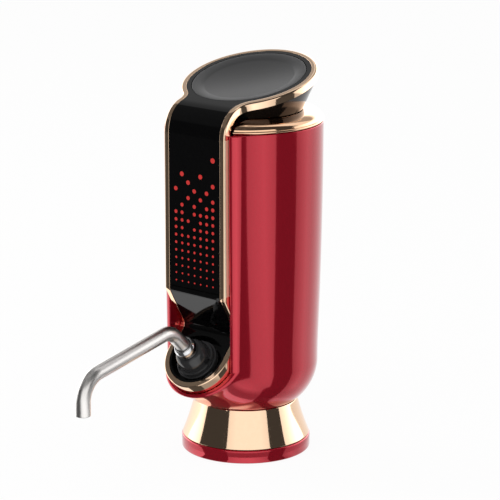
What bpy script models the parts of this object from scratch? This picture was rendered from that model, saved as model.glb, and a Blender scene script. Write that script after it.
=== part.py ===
"""Electric wine aerator on its stand.

Metres, +Z up. The origin is the middle of the foot pad's underside. The spout points to -Y.
"""
import math

import bmesh
import bpy
from mathutils import Matrix, Vector

# Clearances and cutting
GAP = 0.0003
RUNNING_GAP = 0.0004
OVERRUN = 0.0040
MERGE = 0.000002
SHARP_ANGLE = math.radians(35)

# Facets round a turned piece
STEPS_LARGE = 40
STEPS_MEDIUM = 24
STEPS_SMALL = 12
STEPS_TINY = 8

# Segments of drawn arcs
DISC_ARC = 44
BOWL_ARC = 16
BOWL_BACK_ARC = 12
NECK_ARC = 4
EDGE_ARC = 3
DOME_ARC = 5
RING_ARC = 6
STEPS_TUBE_FINE = 4
STEPS_TUBE = 2
STEPS_TUBE_COARSE = 1

# Stand
RING_RADIUS = 0.0312
RING_WALL = 0.0022
PAD_RADIUS = RING_RADIUS - RING_WALL
PAD_THICKNESS = 0.0010
RING_TOP_Z = 0.0071
RING_BOTTOM_Z = 0.0006
RING_EDGE = 0.0010
RING_SHELF = 0.0029
PLATE_THICKNESS = 0.0026
CONE_INSET = 0.0004
CONE_FOOT_RADIUS = RING_RADIUS - CONE_INSET
CONE_LIP_RADIUS = 0.0250
CONE_WALL = 0.0012
CONE_WAIST_SHARE = 0.012
CONE_ROWS = 4
WELL_RADIUS = 0.0190
WELL_FLOOR = 0.0022
STAND_SCREW_INSET = 0.0061
STAND_SCREW_CIRCLE = PAD_RADIUS - STAND_SCREW_INSET
STAND_SCREW_COUNT = 3
STAND_SCREW_RADIUS = 0.0013
STAND_SCREW_HEAD_RADIUS = 0.0026
STAND_SCREW_HEAD = 0.0012
STAND_SCREW_LENGTH = 0.0085

# Barrel
BODY_RADIUS = 0.0370
BODY_TOP_Z = 0.16246
BODY_TAPER = 0.0022
BODY_LOW_RADIUS = BODY_RADIUS - BODY_TAPER
BODY_BOTTOM_Z = 0.0203
BODY_FLAT_RADIUS = 0.0093
BODY_ROUND_ACROSS = BODY_LOW_RADIUS - BODY_FLAT_RADIUS
BODY_ROUND_UP = 0.0250
BODY_WALL = 0.0022
BODY_FLOOR_Z = 0.0275
ROUND_POINTS = 8

# Path of the trim strip in the YZ plane
FRONT_PROUD = 0.0019
FRONT_Y = -BODY_RADIUS - FRONT_PROUD
BROW_Z = 0.0845
NOTCH_ANGLE = math.radians(120.7)
BROW_BEND = 0.0050
DEEP_BEND = 0.0030
RIM_SETBACK = 0.0021
RIM_CENTRE_Y = FRONT_Y + RIM_SETBACK
RIM_CENTRE_Z = 0.05483
RIM_TILT = math.radians(46.3)
TOP_BEND = 0.0145
DISC_CENTRE_Y = 0.0024
DISC_RISE = 0.02017
DISC_CENTRE_Z = BODY_TOP_Z + DISC_RISE
DISC_TILT = math.radians(14.62)

# Trim strip and panel
STRIP_HALF_WIDTH = 0.01768
DISC_RIM_RADIUS = 0.03267
NECK_FILLET = 0.0090
TRIM_WIDTH = 0.0030
TRIM_DEPTH = 0.0044
TRIM_SKIRT = 0.0066
TRIM_SKIRT_END = 0.0080
PANEL_SINK = 0.0004
PANEL_THICKNESS = 0.0020
PANEL_END_Z = 0.0870
BOWL_DEPTH = 0.0040
BOWL_BACK = 0.0100
BOWL_THICKNESS = 0.0020
BOWL_WALL = 0.0008
BEND_CUTS_TOP = 8
BEND_CUTS_BROW = 3
BEND_CUTS_DEEP = 4

# Raised channel and chin of the barrel
CHANNEL_STEP = 0.0040
CHANNEL_WALL = 0.0016
CHANNEL_EDGE = 0.0010
CHANNEL_RIB_DEPTH = 0.0100
CHANNEL_BOTTOM_Z = 0.0450
SLOT_BACK = 0.0190
RIM_SLOT_DEPTH = 0.0072
CHIN_STEP = 0.0062
CHIN_FRONT = 0.0202
CHIN_DEPTH = 0.0190
CHIN_TAPER = 0.0085
CHIN_FLARE = 0.0001
CHIN_CORE_DEPTH = 0.0150
CHIN_WALL = 0.0026

# Bottle adapter, seal and intake
SOCKET_RADIUS = 0.0156
SOCKET_DEPTH = 0.0300
ADAPTER_WALL = 0.0024
ADAPTER_DROP = 0.0028
ADAPTER_ROOF = 0.0030
ADAPTER_FLANGE_RADIUS = 0.0232
ADAPTER_FLANGE = 0.0022
ADAPTER_SCREW_CIRCLE = 0.0206
ADAPTER_SCREW_COUNT = 3
ADAPTER_SCREW_RADIUS = 0.0009
ADAPTER_SCREW_HEAD_RADIUS = 0.0017
ADAPTER_SCREW_HEAD = 0.0012
ADAPTER_SCREW_LENGTH = 0.0035
SEAL_THICKNESS = 0.0030
SEAL_HOLE_RADIUS = 0.0040
NIPPLE_RADIUS = 0.0028
NIPPLE_BORE = 0.0016
NIPPLE_DROP = 0.0085
NIPPLE_RISE = 0.0026
NIPPLE_FLANGE_RADIUS = 0.0037
NIPPLE_FLANGE = 0.0012
AIR_PORT_X = 0.0056
AIR_PORT_Y = -0.0036
AIR_PORT_RADIUS = 0.0020
AIR_PORT_BORE = 0.0009
AIR_PORT_RISE = 0.0055

# Shoulder ring and neck cone
BEAD_PROUD = 0.0002
BEAD_RADIUS = BODY_RADIUS + BEAD_PROUD
BEAD_HEIGHT = 0.0012
BEAD_SETBACK = 0.0008
BEAD_EDGE = 0.0003
SHOULDER_RISE = 0.00554
SHOULDER_TOP_Z = BODY_TOP_Z + SHOULDER_RISE
SHOULDER_OPENING = 0.0263
SHOULDER_LIP_RADIUS = 0.0275
SHOULDER_WALL = 0.0014
SHOULDER_SKIRT = 0.0045
SHOULDER_POINTS = 4
NECK_FOOT_RADIUS = 0.0273
NECK_INSET = 0.00047
NECK_TOP_RADIUS = DISC_RIM_RADIUS - NECK_INSET
NECK_WALL = 0.0015
NECK_DROP = 0.00045
NECK_STEPS = 48

# Push button on the top disc
BUTTON_RADIUS = 0.02735
BUTTON_FLAT_RADIUS = 0.0213
BUTTON_DISH = 0.0009
BUTTON_RIM_THICKNESS = 0.0020
BUTTON_TRAVEL = 0.0010
STEM_RADIUS = 0.0032
STEM_LENGTH = 0.0070
GUIDE_RIM_THICKNESS = 0.0015
GUIDE_WELL_RADIUS = 0.0215
GUIDE_DEPTH = 0.0080
GUIDE_WALL = 0.0014
GUIDE_PLATE = 0.0015
SPRING_RADIUS = 0.0060
SPRING_WIRE = 0.0003
SPRING_TURNS = 4
SPRING_POINTS = 10
SWITCH_SIZE = 0.0060
SWITCH_HEIGHT = 0.0030
SWITCH_PLUNGER_RADIUS = 0.0015
SWITCH_PLUNGER = 0.0008
BUTTON_BOARD_RADIUS = 0.0100
BUTTON_BOARD_THICKNESS = 0.0012
BUTTON_PEG_RADIUS = 0.0014
BUTTON_PEG_CIRCLE = 0.0080
BUTTON_PEG_COUNT = 3

# Spout hub on the bowl's floor
HUB_OFFSET = 0.0024
HUB_FLANGE_RADIUS = 0.0103
HUB_FLANGE = 0.0026
HUB_STEP_RADIUS = 0.0094
HUB_STEP = 0.0020
HUB_DOME_RADIUS = 0.0082
HUB_TOP_RADIUS = 0.0056
HUB_HEIGHT = 0.0112
HUB_BORE_RADIUS = 0.0039
HUB_TAIL_RADIUS = 0.0045
HUB_TAIL = 0.0055
HUB_NOTCH_WIDTH = 0.0030
HUB_NOTCH_RADIUS = 0.0068
HUB_NOTCH_BELOW = 0.0012
HUB_NOTCH_ABOVE = 0.0022
HUB_NOTCH_COUNT = 3
HUB_NOTCH_ANGLE = math.radians(-4)
COLLAR_RADIUS = 0.0053
COLLAR_TOP_RADIUS = 0.0046
COLLAR_HEIGHT = 0.0050
ELBOW_RADIUS = 0.0050
ELBOW_HEIGHT = 0.0062
ELBOW_BORE_RADIUS = 0.0026
ELBOW_BARB_RADIUS = 0.0023
ELBOW_BARB_REACH = 0.0080
ELBOW_TURN = math.radians(30)
ORING_RADIUS = 0.0006

# Spout tube
SPOUT_RADIUS = 0.0035
SPOUT_WALL = 0.0008
SPOUT_SEAT_DEPTH = 0.0080
SPOUT_RISE = 0.0259
SPOUT_RUN = 0.0620
SPOUT_RUN_SLOPE = math.radians(8.7)
SPOUT_DROP = 0.0163
SPOUT_BEND = 0.0120
SPOUT_BEND_POINTS = 7

# Inner frame
DECK_Z = 0.0630
DECK_THICKNESS = 0.0030
DECK_SETBACK = 0.0204
DECK_FRONT_Y = FRONT_Y + DECK_SETBACK
TOP_DECK_DROP = 0.01646
TOP_DECK_Z = BODY_TOP_Z - TOP_DECK_DROP
WEB_SETBACK = 0.0277
WEB_BACK_Y = FRONT_Y + WEB_SETBACK
WEB_THICKNESS = 0.0020
WEB_HALF_WIDTH = 0.0160
RAIL_INSET = 0.0026
RAIL_X = BODY_LOW_RADIUS - BODY_WALL - RAIL_INSET
RAIL_HALF_WIDTH = 0.0040
RAIL_THICKNESS = 0.0020
FOOT_RADIUS = 0.0030
FOOT_CIRCLE = 0.0135
FOOT_COUNT = 3
FRAME_SCREW_RADIUS = 0.0011
FRAME_SCREW_HEAD_RADIUS = 0.0021
FRAME_SCREW_HEAD = 0.0014

# Air pump
PUMP_RADIUS = 0.0125
PUMP_ROOM = 0.0026
PUMP_BEARING = math.radians(149)
PUMP_DISTANCE = BODY_LOW_RADIUS - BODY_WALL - PUMP_RADIUS - PUMP_ROOM
PUMP_X = PUMP_DISTANCE * math.cos(PUMP_BEARING)
PUMP_Y = PUMP_DISTANCE * math.sin(PUMP_BEARING)
PUMP_HEIGHT = 0.0160
PUMP_CHAMBER_RADIUS = 0.0092
PUMP_FLOOR = 0.0040
DIAPHRAGM_THICKNESS = 0.0012
ECCENTRIC_RADIUS = 0.0050
ECCENTRIC_OFFSET = 0.0016
ECCENTRIC_HEIGHT = 0.0040
MOTOR_RADIUS = 0.0122
MOTOR_LENGTH = 0.0320
MOTOR_WALL = 0.0012
ROTOR_RADIUS = 0.0092
ROTOR_LENGTH = 0.0200
SHAFT_RADIUS = 0.0010
SHAFT_TOP = 0.0012
END_CAP_HEIGHT = 0.0028
BARB_RADIUS = 0.0018
BARB_REACH = 0.0040
BARB_ANGLE = math.radians(-31)

# Hoses and check valve
VALVE_RADIUS = 0.0033
VALVE_LENGTH = 0.0150
VALVE_NECK_RADIUS = 0.0018
VALVE_NECK = 0.0030
AIR_HOSE_RADIUS = 0.0019
AIR_HOSE_OVER_SHARES = (0.6, 1.85)
WINE_HOSE_RADIUS = 0.0024
WINE_HOSE_LEAN = math.radians(62)
WINE_HOSE_WAY_SHARES = ((1.365, 0.25), (1.067, 2.0), (0.533, 3.6), (0.16, 3.4))
WINE_HOSE_LEAD_SHARE = 0.8
HOSE_SAMPLES = 26

# Battery
BATTERY_RADIUS = 0.0091
BATTERY_ROOM = 0.00365
BATTERY_BEARING = math.radians(40.9)
BATTERY_DISTANCE = BODY_LOW_RADIUS - BODY_WALL - BATTERY_RADIUS - BATTERY_ROOM
BATTERY_X = BATTERY_DISTANCE * math.cos(BATTERY_BEARING)
BATTERY_Y = BATTERY_DISTANCE * math.sin(BATTERY_BEARING)
BATTERY_LENGTH = 0.0650
BATTERY_CAP_RADIUS = 0.0030
BATTERY_CAP = 0.0012
HOLDER_WALL = 0.0014
HOLDER_FLOOR = 0.0016
HOLDER_HEIGHT = 0.0340
HOLDER_OPENING = 0.0120

# Boards
BOARD_THICKNESS = 0.0016
MAIN_BOARD_HALF_WIDTH = 0.0150
MAIN_BOARD_LENGTH = 0.0480
MAIN_BOARD_RISE = 0.0240
MAIN_BOARD_CHIP_SHARES = (
    (-0.5, 0.12, 0.30, 0.14, 1.0),
    (0.35, 0.16, 0.35, 0.20, 1.6),
    (-0.35, 0.45, 0.45, 0.22, 0.9),
    (0.45, 0.55, 0.28, 0.30, 1.9),
    (0.0, 0.84, 0.60, 0.14, 2.2),
)
LED_BOARD_HALF_WIDTH = 0.0130
LED_BOARD_MARGIN = 0.0030
LED_BOARD_THICKNESS = 0.0012
LED_CHIP_WIDTH = 0.0016
LED_CHIP_HEIGHT = 0.0009
LED_CHIP_DEPTH = 0.0006
DOT_PITCH = 0.0037
DOT_ROW_Z = 0.0940
DOT_LOWEST_ROW = -1
DOT_ROWS = (
    "ooooooo", "ooooooo", "ooooooo", "ooooooo", "ooooooo", "ooooooo", "ooooooo",
    "oo.oooo", "ooo.ooo", "oo.oooo", ".o.o.oo", "..o.o.o", "o..o.o.", "..o...o", ".o..o..",
    ".......", "......o",
)
CHARGE_Z = 0.0682
CHARGE_HALF_WIDTH = 0.0046
CHARGE_HEIGHT = 0.0032
CHARGE_LENGTH = 0.0072
CHARGE_WALL = 0.0005
CHARGE_BOARD_HALF_WIDTH = 0.0070
CHARGE_BOARD_LENGTH = 0.0100
CHARGE_BOARD_THICKNESS = 0.0012
CHARGE_BOARD_CLEARANCE = 0.0012

PARTS_NAME = "electric_wine_aerator"
CUTTERS_NAME = "cutters"


# Scene and material helpers

def clear_scene():
    for thing in list(bpy.data.objects):
        bpy.data.objects.remove(thing, do_unlink=True)


def make_collection(name):
    collection = bpy.data.collections.new(name)
    bpy.context.scene.collection.children.link(collection)
    return collection


def make_material(name, colour, roughness, metallic=0.0):
    material = bpy.data.materials.new(name)
    material.use_nodes = True
    shader = material.node_tree.nodes["Principled BSDF"]
    shader.inputs["Base Color"].default_value = (*colour, 1.0)
    shader.inputs["Roughness"].default_value = roughness
    shader.inputs["Metallic"].default_value = metallic
    return material


# Shape helpers

def link(name, mesh, matrix=Matrix()):
    thing = bpy.data.objects.new(name, mesh)
    cutters.objects.link(thing)
    thing.matrix_world = matrix
    return thing


def evaluated_mesh(thing):
    bpy.context.view_layer.update()
    graph = bpy.context.evaluated_depsgraph_get()
    return bpy.data.meshes.new_from_object(thing.evaluated_get(graph))


def tidy_mesh(mesh):
    work = bmesh.new()
    work.from_mesh(mesh)
    bmesh.ops.remove_doubles(work, verts=work.verts, dist=MERGE)
    bmesh.ops.recalc_face_normals(work, faces=work.faces)
    work.to_mesh(mesh)
    work.free()
    return mesh


def settled(thing, name=None):
    """The object as a plain mesh in world space, its modifiers applied."""
    mesh = evaluated_mesh(thing)
    mesh.transform(thing.matrix_world)
    label = name or thing.name
    bpy.data.objects.remove(thing, do_unlink=True)
    return link(label, tidy_mesh(mesh))


def boolean(target, tool, operation):
    step = target.modifiers.new(operation.lower(), "BOOLEAN")
    step.operation = operation
    step.solver = "EXACT"
    step.object = tool
    tool.hide_render = True
    tool.display_type = "WIRE"


def cut(target, *tools):
    for tool in tools:
        boolean(target, tool, "DIFFERENCE")
    return target


def join(target, *tools):
    for tool in tools:
        boolean(target, tool, "UNION")
    return target


def box(name, low, high, matrix=Matrix()):
    work = bmesh.new()
    bmesh.ops.create_cube(work, size=1.0)
    size = Vector(high) - Vector(low)
    middle = (Vector(high) + Vector(low)) / 2
    bmesh.ops.scale(work, vec=size, verts=work.verts)
    bmesh.ops.translate(work, vec=middle, verts=work.verts)
    mesh = bpy.data.meshes.new(name)
    work.to_mesh(mesh)
    work.free()
    return link(name, mesh, matrix)


def turned(name, profile, steps, matrix=Matrix(), closed=False):
    """Turn (radius, height) points about the local Z axis. They run down the outer side."""
    mesh = bpy.data.meshes.new(name)
    edges = [(i, i + 1) for i in range(len(profile) - 1)]
    if closed:
        edges.append((len(profile) - 1, 0))
    mesh.from_pydata([(radius, 0, height) for radius, height in profile], edges, [])
    thing = link(name, mesh, matrix)
    screw = thing.modifiers.new("turn", "SCREW")
    screw.axis = "Z"
    screw.steps = steps
    screw.render_steps = steps
    screw.use_merge_vertices = True
    screw.merge_threshold = MERGE
    screw.use_smooth_shade = True
    return settled(thing)


def rod(name, radius, low, high, steps, matrix=Matrix()):
    """A cylinder about the local Z axis between two heights."""
    work = bmesh.new()
    bmesh.ops.create_cone(work, cap_ends=True, segments=steps, radius1=radius, radius2=radius,
                          depth=high - low)
    bmesh.ops.translate(work, vec=(0, 0, (low + high) / 2), verts=work.verts)
    mesh = bpy.data.meshes.new(name)
    work.to_mesh(mesh)
    work.free()
    return settled(link(name, mesh, matrix))


def pipe(name, outer, inner, low, high, steps, matrix=Matrix()):
    profile = [(outer, high), (outer, low), (inner, low), (inner, high)]
    return turned(name, profile, steps, matrix, closed=True)


def at(x, y, z=0):
    return Matrix.Translation((x, y, z))


def flat_outline(name, loops, thickness):
    """A flat plate between z = 0 and z = -thickness from closed 2D outlines."""
    curve = bpy.data.curves.new(name, "CURVE")
    curve.dimensions = "2D"
    curve.fill_mode = "BOTH"
    curve.extrude = thickness / 2
    for loop in loops:
        spline = curve.splines.new("POLY")
        spline.points.add(len(loop) - 1)
        spline.use_cyclic_u = True
        for point, (x, y) in zip(spline.points, loop):
            point.co = (x, y, 0, 1)
    thing = bpy.data.objects.new(name, curve)
    cutters.objects.link(thing)
    thing.location.z = -thickness / 2
    bpy.context.view_layer.update()
    return settled(thing)


def arc(centre, radius, start, end, count):
    """Points of an arc, both ends included."""
    points = []
    for i in range(count + 1):
        angle = start + (end - start) * i / count
        points.append((centre[0] + radius * math.cos(angle), centre[1] + radius * math.sin(angle)))
    return points


def tube(name, points, radius, resolution=STEPS_TUBE):
    curve = bpy.data.curves.new(name, "CURVE")
    curve.dimensions = "3D"
    curve.bevel_depth = radius
    curve.bevel_resolution = resolution
    curve.use_fill_caps = True
    spline = curve.splines.new("POLY")
    spline.points.add(len(points) - 1)
    for target, point in zip(spline.points, points):
        target.co = (*point, 1)
    thing = bpy.data.objects.new(name, curve)
    cutters.objects.link(thing)
    bpy.context.view_layer.update()
    return settled(thing)


def hose_route(start, outward, between, inward, end, samples):
    """A smooth curve that leaves its start, and meets its end, along a short straight lead."""
    knots = [start, start + outward / 2, start + outward] + between
    return smooth_route(knots + [end - inward, end - inward / 2, end], samples)


def smooth_route(knots, samples):
    """Points of a smooth curve through the knots, evenly shared among its spans."""
    spans = len(knots) - 1
    ends = [knots[0] * 2 - knots[1]] + knots + [knots[-1] * 2 - knots[-2]]
    points = []
    for i in range(samples + 1):
        place = min(i * spans / samples, spans - MERGE)
        k = int(place)
        t = place - k
        a, b, c, d = ends[k:k + 4]
        points.append((b * 2 + (c - a) * t + (a * 2 - b * 5 + c * 4 - d) * t ** 2
                       + (b * 3 - a - c * 3 + d) * t ** 3) / 2)
    return points


def publish(thing, name, material, origin=None, parent=None):
    """Put a finished solid in the parts collection, its origin on its joint's axis."""
    solid = settled(thing, name)
    cutters.objects.unlink(solid)
    parts.objects.link(solid)
    if origin is not None:
        solid.data.transform(Matrix.Translation(-origin))
        solid.location = origin
    solid.data.materials.clear()
    solid.data.materials.append(material)
    solid.data.shade_smooth()
    solid.data.set_sharp_from_angle(angle=SHARP_ANGLE)
    if parent is not None:
        bpy.context.view_layer.update()
        solid.parent = parent
        solid.matrix_parent_inverse = parent.matrix_world.inverted()
    return solid


def publish_screws(name, profile, places):
    for i, (x, y) in enumerate(places):
        publish(turned(name, profile, STEPS_TINY, at(x, y)), "%s_%d" % (name, i + 1), STEEL)


def empty(name, matrix):
    thing = bpy.data.objects.new(name, None)
    parts.objects.link(thing)
    thing.matrix_world = matrix
    bpy.context.view_layer.update()
    return thing


# Path of the strip, from the middle of the bowl's rim up to the top disc

def crossing(point_a, direction_a, point_b, direction_b):
    across = direction_a[0] * direction_b[1] - direction_a[1] * direction_b[0]
    offset = (point_b[0] - point_a[0], point_b[1] - point_a[1])
    reach = (offset[0] * direction_b[1] - offset[1] * direction_b[0]) / across
    return (point_a[0] + direction_a[0] * reach, point_a[1] + direction_a[1] * reach)


def heading(angle):
    return (math.cos(angle), math.sin(angle))


def strip_path():
    """Corners of the path with their bend radii, as straight runs and turns."""
    upright = math.pi / 2
    start = (RIM_CENTRE_Y, RIM_CENTRE_Z)
    brow = (FRONT_Y, BROW_Z)
    disc = (DISC_CENTRE_Y, DISC_CENTRE_Z)
    deep = crossing(start, heading(RIM_TILT), brow, heading(NOTCH_ANGLE))
    top = crossing(brow, heading(upright), disc, heading(DISC_TILT))
    corners = [start, deep, brow, top, disc]
    headings = [RIM_TILT, NOTCH_ANGLE, upright, DISC_TILT]
    bends = [DEEP_BEND, BROW_BEND, TOP_BEND]
    cuts = [BEND_CUTS_DEEP, BEND_CUTS_BROW, BEND_CUTS_TOP]
    lengths = [math.dist(a, b) for a, b in zip(corners, corners[1:])]
    pieces = []
    for i, bend in enumerate(bends):
        turn = headings[i + 1] - headings[i]
        trim = bend * math.tan(abs(turn) / 2)
        lengths[i] -= trim
        lengths[i + 1] -= trim
        pieces.append((bend * abs(turn), turn, cuts[i]))
    runs = []
    for i, length in enumerate(lengths):
        runs.append((length, 0.0, 1))
        if i < len(pieces):
            runs.append(pieces[i])
    return runs


def path_stations():
    """Start, length, turn, heading and place of each run of the path."""
    stations = []
    along = 0.0
    angle = RIM_TILT
    y, z = RIM_CENTRE_Y, RIM_CENTRE_Z
    for length, turn, cuts in strip_path():
        stations.append((along, length, turn, angle, y, z, cuts))
        if turn:
            bend = length / turn
            y += bend * (math.sin(angle + turn) - math.sin(angle))
            z -= bend * (math.cos(angle + turn) - math.cos(angle))
        else:
            y += length * math.cos(angle)
            z += length * math.sin(angle)
        along += length
        angle += turn
    return stations, along


def wrap_point(across, along, height):
    """Place a point of the flattened strip on the bent path."""
    chosen = STATIONS[0]
    for station in STATIONS:
        if along >= station[0]:
            chosen = station
    start, length, turn, angle, y, z, _ = chosen
    reach = along - start
    if turn:
        bend = length / turn
        now = angle + reach / bend
        y += bend * (math.sin(now) - math.sin(angle))
        z -= bend * (math.cos(now) - math.cos(angle))
        angle = now
    else:
        y += reach * math.cos(angle)
        z += reach * math.sin(angle)
    return Vector((across, y - height * math.sin(angle), z + height * math.cos(angle)))


def wrap(thing, shift=0):
    """Bend a flattened solid along the path, its top face at the given height."""
    work = bmesh.new()
    work.from_mesh(thing.data)
    for start, length, turn, _, _, _, cuts in STATIONS:
        if turn:
            for i in range(cuts + 1):
                geometry = work.verts[:] + work.edges[:] + work.faces[:]
                place = start + length * i / cuts
                bmesh.ops.bisect_plane(work, geom=geometry, dist=MERGE, plane_co=(0, place, 0),
                                       plane_no=(0, 1, 0))
    bmesh.ops.triangulate(work, faces=[f for f in work.faces if len(f.verts) > 4])
    for vert in work.verts:
        vert.co = wrap_point(vert.co.x, vert.co.y, vert.co.z + shift)
    bmesh.ops.recalc_face_normals(work, faces=work.faces)
    work.to_mesh(thing.data)
    work.free()
    return thing


def path_place(z):
    """Distance along the path of a height on its upright run."""
    start, _, _, _, _, low, _ = STATIONS[4]
    return start + z - low


def keyhole(inset, bottom=True, low=0):
    """Outline of the flattened strip, drawn in by inset, and closed by an arc or a straight end."""
    half = STRIP_HALF_WIDTH - inset
    disc = DISC_RIM_RADIUS - inset
    fillet = NECK_FILLET + inset
    side = half + fillet
    reach = math.sqrt((disc + fillet) ** 2 - side ** 2)
    lean = math.atan2(reach, side)
    disc_at = PATH_LENGTH
    right = arc((side, disc_at - reach), fillet, math.pi, math.pi - lean, NECK_ARC)
    rim = arc((0, disc_at), disc, -lean, math.pi + lean, DISC_ARC)
    left = [(-x, y) for x, y in reversed(right)]
    if bottom:
        end = arc((0, 0), half, math.pi, 2 * math.pi, BOWL_ARC)
    else:
        end = [(-half, low), (half, low)]
    return end + right + rim[1:-1] + left


def rim_outline(half, reach, front):
    """The bowl's outline in its own plane: straight sides and a half-oval front."""
    oval = [(x, y * front / half) for x, y in arc((0, 0), half, math.pi, 2 * math.pi, BOWL_ARC)]
    return oval + [(half, reach), (-half, reach)]


def loft(name, lower, upper, matrix=Matrix()):
    """A solid between two outlines of as many points each, at their own heights."""
    work = bmesh.new()
    rings = [[work.verts.new(point) for point in outline] for outline in (lower, upper)]
    count = len(lower)
    for i in range(count):
        j = (i + 1) % count
        work.faces.new((rings[0][i], rings[0][j], rings[1][j], rings[1][i]))
    work.faces.new(reversed(rings[0]))
    work.faces.new(rings[1])
    bmesh.ops.recalc_face_normals(work, faces=work.faces)
    mesh = bpy.data.meshes.new(name)
    work.to_mesh(mesh)
    work.free()
    return settled(link(name, mesh, matrix))


# Frames of the tilted parts

def rim_frame(forward=0):
    """Local Z is square to the bowl's rim, local -Y runs forward and down it."""
    turn = Matrix.Rotation(RIM_TILT, 4, "X")
    return at(0, RIM_CENTRE_Y, RIM_CENTRE_Z) @ turn @ at(0, -forward)


def disc_frame():
    return at(0, DISC_CENTRE_Y, DISC_CENTRE_Z) @ Matrix.Rotation(DISC_TILT, 4, "X")


# Profiles of the barrel

def barrel_side_radius(z):
    knee = BODY_BOTTOM_Z + BODY_ROUND_UP
    share = (z - knee) / (BODY_TOP_Z - knee)
    return BODY_LOW_RADIUS + (BODY_RADIUS - BODY_LOW_RADIUS) * min(share * 2, 1 + (share - 1) / 2, 1)


def barrel_bottom_z(radius):
    across = (radius - (BODY_LOW_RADIUS - BODY_ROUND_ACROSS)) / BODY_ROUND_ACROSS
    return BODY_BOTTOM_Z + BODY_ROUND_UP * (1 - math.sqrt(1 - across ** 2))


def barrel_profile(wall):
    """Outer side of the barrel drawn in by a wall, from the top edge to the flat of the bottom."""
    knee = BODY_BOTTOM_Z + BODY_ROUND_UP
    middle = (BODY_TOP_Z + knee) / 2
    points = [(barrel_side_radius(BODY_TOP_Z) - wall, BODY_TOP_Z)]
    points.append((barrel_side_radius(middle) - wall, middle))
    centre = BODY_LOW_RADIUS - BODY_ROUND_ACROSS
    for i in range(ROUND_POINTS + 1):
        angle = math.pi / 2 * i / ROUND_POINTS
        points.append((centre + (BODY_ROUND_ACROSS - wall) * math.cos(angle),
                       knee - (BODY_ROUND_UP - wall) * math.sin(angle)))
    return points


# Stand

def stand_heights():
    plate_low = PAD_THICKNESS + GAP
    plate_high = plate_low + PLATE_THICKNESS
    shelf_low = plate_high + GAP
    well_floor = shelf_low + WELL_FLOOR
    return plate_low, plate_high, shelf_low, well_floor


def cone_outer(z):
    """Radius of the flared cone at a height, slightly hollow at its waist."""
    foot = RING_TOP_Z + GAP
    share = (z - foot) / (CONE_LIP_Z - foot)
    straight = CONE_FOOT_RADIUS + (CONE_LIP_RADIUS - CONE_FOOT_RADIUS) * share
    return straight * (1 - CONE_WAIST_SHARE * math.sin(math.pi * share))


def stand_screw_places():
    angles = [2 * math.pi * i / STAND_SCREW_COUNT for i in range(STAND_SCREW_COUNT)]
    return [(STAND_SCREW_CIRCLE * math.cos(a), STAND_SCREW_CIRCLE * math.sin(a)) for a in angles]


def build_stand():
    plate_low, plate_high, shelf_low, well_floor = stand_heights()
    inner = PAD_RADIUS + GAP
    publish(rod("pad", PAD_RADIUS, 0, PAD_THICKNESS, STEPS_LARGE), "stand_foot_pad", RUBBER)

    ring = [(RING_RADIUS - RING_EDGE, RING_TOP_Z), (RING_RADIUS, RING_TOP_Z - RING_EDGE),
            (RING_RADIUS, RING_BOTTOM_Z + RING_EDGE), (RING_RADIUS - RING_EDGE, RING_BOTTOM_Z),
            (inner, RING_BOTTOM_Z), (inner, shelf_low), (inner - RING_SHELF, shelf_low),
            (inner - RING_SHELF, RING_TOP_Z)]
    publish(turned("ring", ring, STEPS_LARGE, closed=True), "stand_ring", RED)

    foot = RING_TOP_Z + GAP
    heights = [CONE_LIP_Z + (foot - CONE_LIP_Z) * i / CONE_ROWS for i in range(CONE_ROWS + 1)]
    outside = [(cone_outer(z), z) for z in heights]
    inside = [(cone_outer(z) - CONE_WALL, z) for z in reversed(heights)]
    lip_radius = inside[-1][0]
    inside[-1] = (lip_radius, barrel_bottom_z(lip_radius) - GAP)
    publish(turned("cone", outside + inside, STEPS_LARGE, closed=True), "stand_cone", ROSE_GOLD)

    core_foot = inner - RING_SHELF - GAP
    core_wide = [(cone_outer(z) - CONE_WALL - GAP, z) for z in heights[1:]]
    seat_wide = core_wide[0][0]
    seat = [(WELL_RADIUS, barrel_bottom_z(WELL_RADIUS) - GAP)]
    seat.append((seat_wide, barrel_bottom_z(seat_wide) - GAP))
    top_z = min(seat[1][1], core_wide[0][1])
    core_wide[0] = (seat_wide, top_z)
    core = [(0, well_floor), (WELL_RADIUS, well_floor)] + seat[:1] + core_wide
    core += [(core_foot, foot), (core_foot, shelf_low), (0, shelf_low)]
    core = turned("core", core, STEPS_LARGE)
    holes = [rod("hole", STAND_SCREW_RADIUS + GAP, plate_low - OVERRUN,
                 plate_low + STAND_SCREW_LENGTH + GAP, STEPS_TINY, at(x, y))
             for x, y in stand_screw_places()]
    publish(cut(core, *holes), "stand_core", BLACK_PLASTIC)

    plate = rod("plate", PAD_RADIUS, plate_low, plate_high, STEPS_LARGE)
    for x, y in stand_screw_places():
        through = rod("hole", STAND_SCREW_RADIUS + GAP, plate_low - OVERRUN, plate_high + OVERRUN,
                      STEPS_TINY, at(x, y))
        seat = rod("seat", STAND_SCREW_HEAD_RADIUS + GAP, plate_low - OVERRUN,
                   plate_low + STAND_SCREW_HEAD + GAP, STEPS_SMALL, at(x, y))
        cut(plate, through, seat)
    publish(plate, "stand_base_plate", BLACK_PLASTIC)

    head, shank = STAND_SCREW_HEAD_RADIUS, STAND_SCREW_RADIUS
    neck = plate_low + STAND_SCREW_HEAD
    tip = plate_low + STAND_SCREW_LENGTH
    profile = [(0, tip), (shank, tip), (shank, neck), (head, neck), (head, plate_low), (0, plate_low)]
    publish_screws("stand_screw", profile, stand_screw_places())


# Barrel with its channel and chin

def channel_front():
    return FRONT_Y + CHANNEL_STEP


def slot_half():
    return STRIP_HALF_WIDTH + GAP


def channel_half():
    return slot_half() + CHANNEL_WALL


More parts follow.
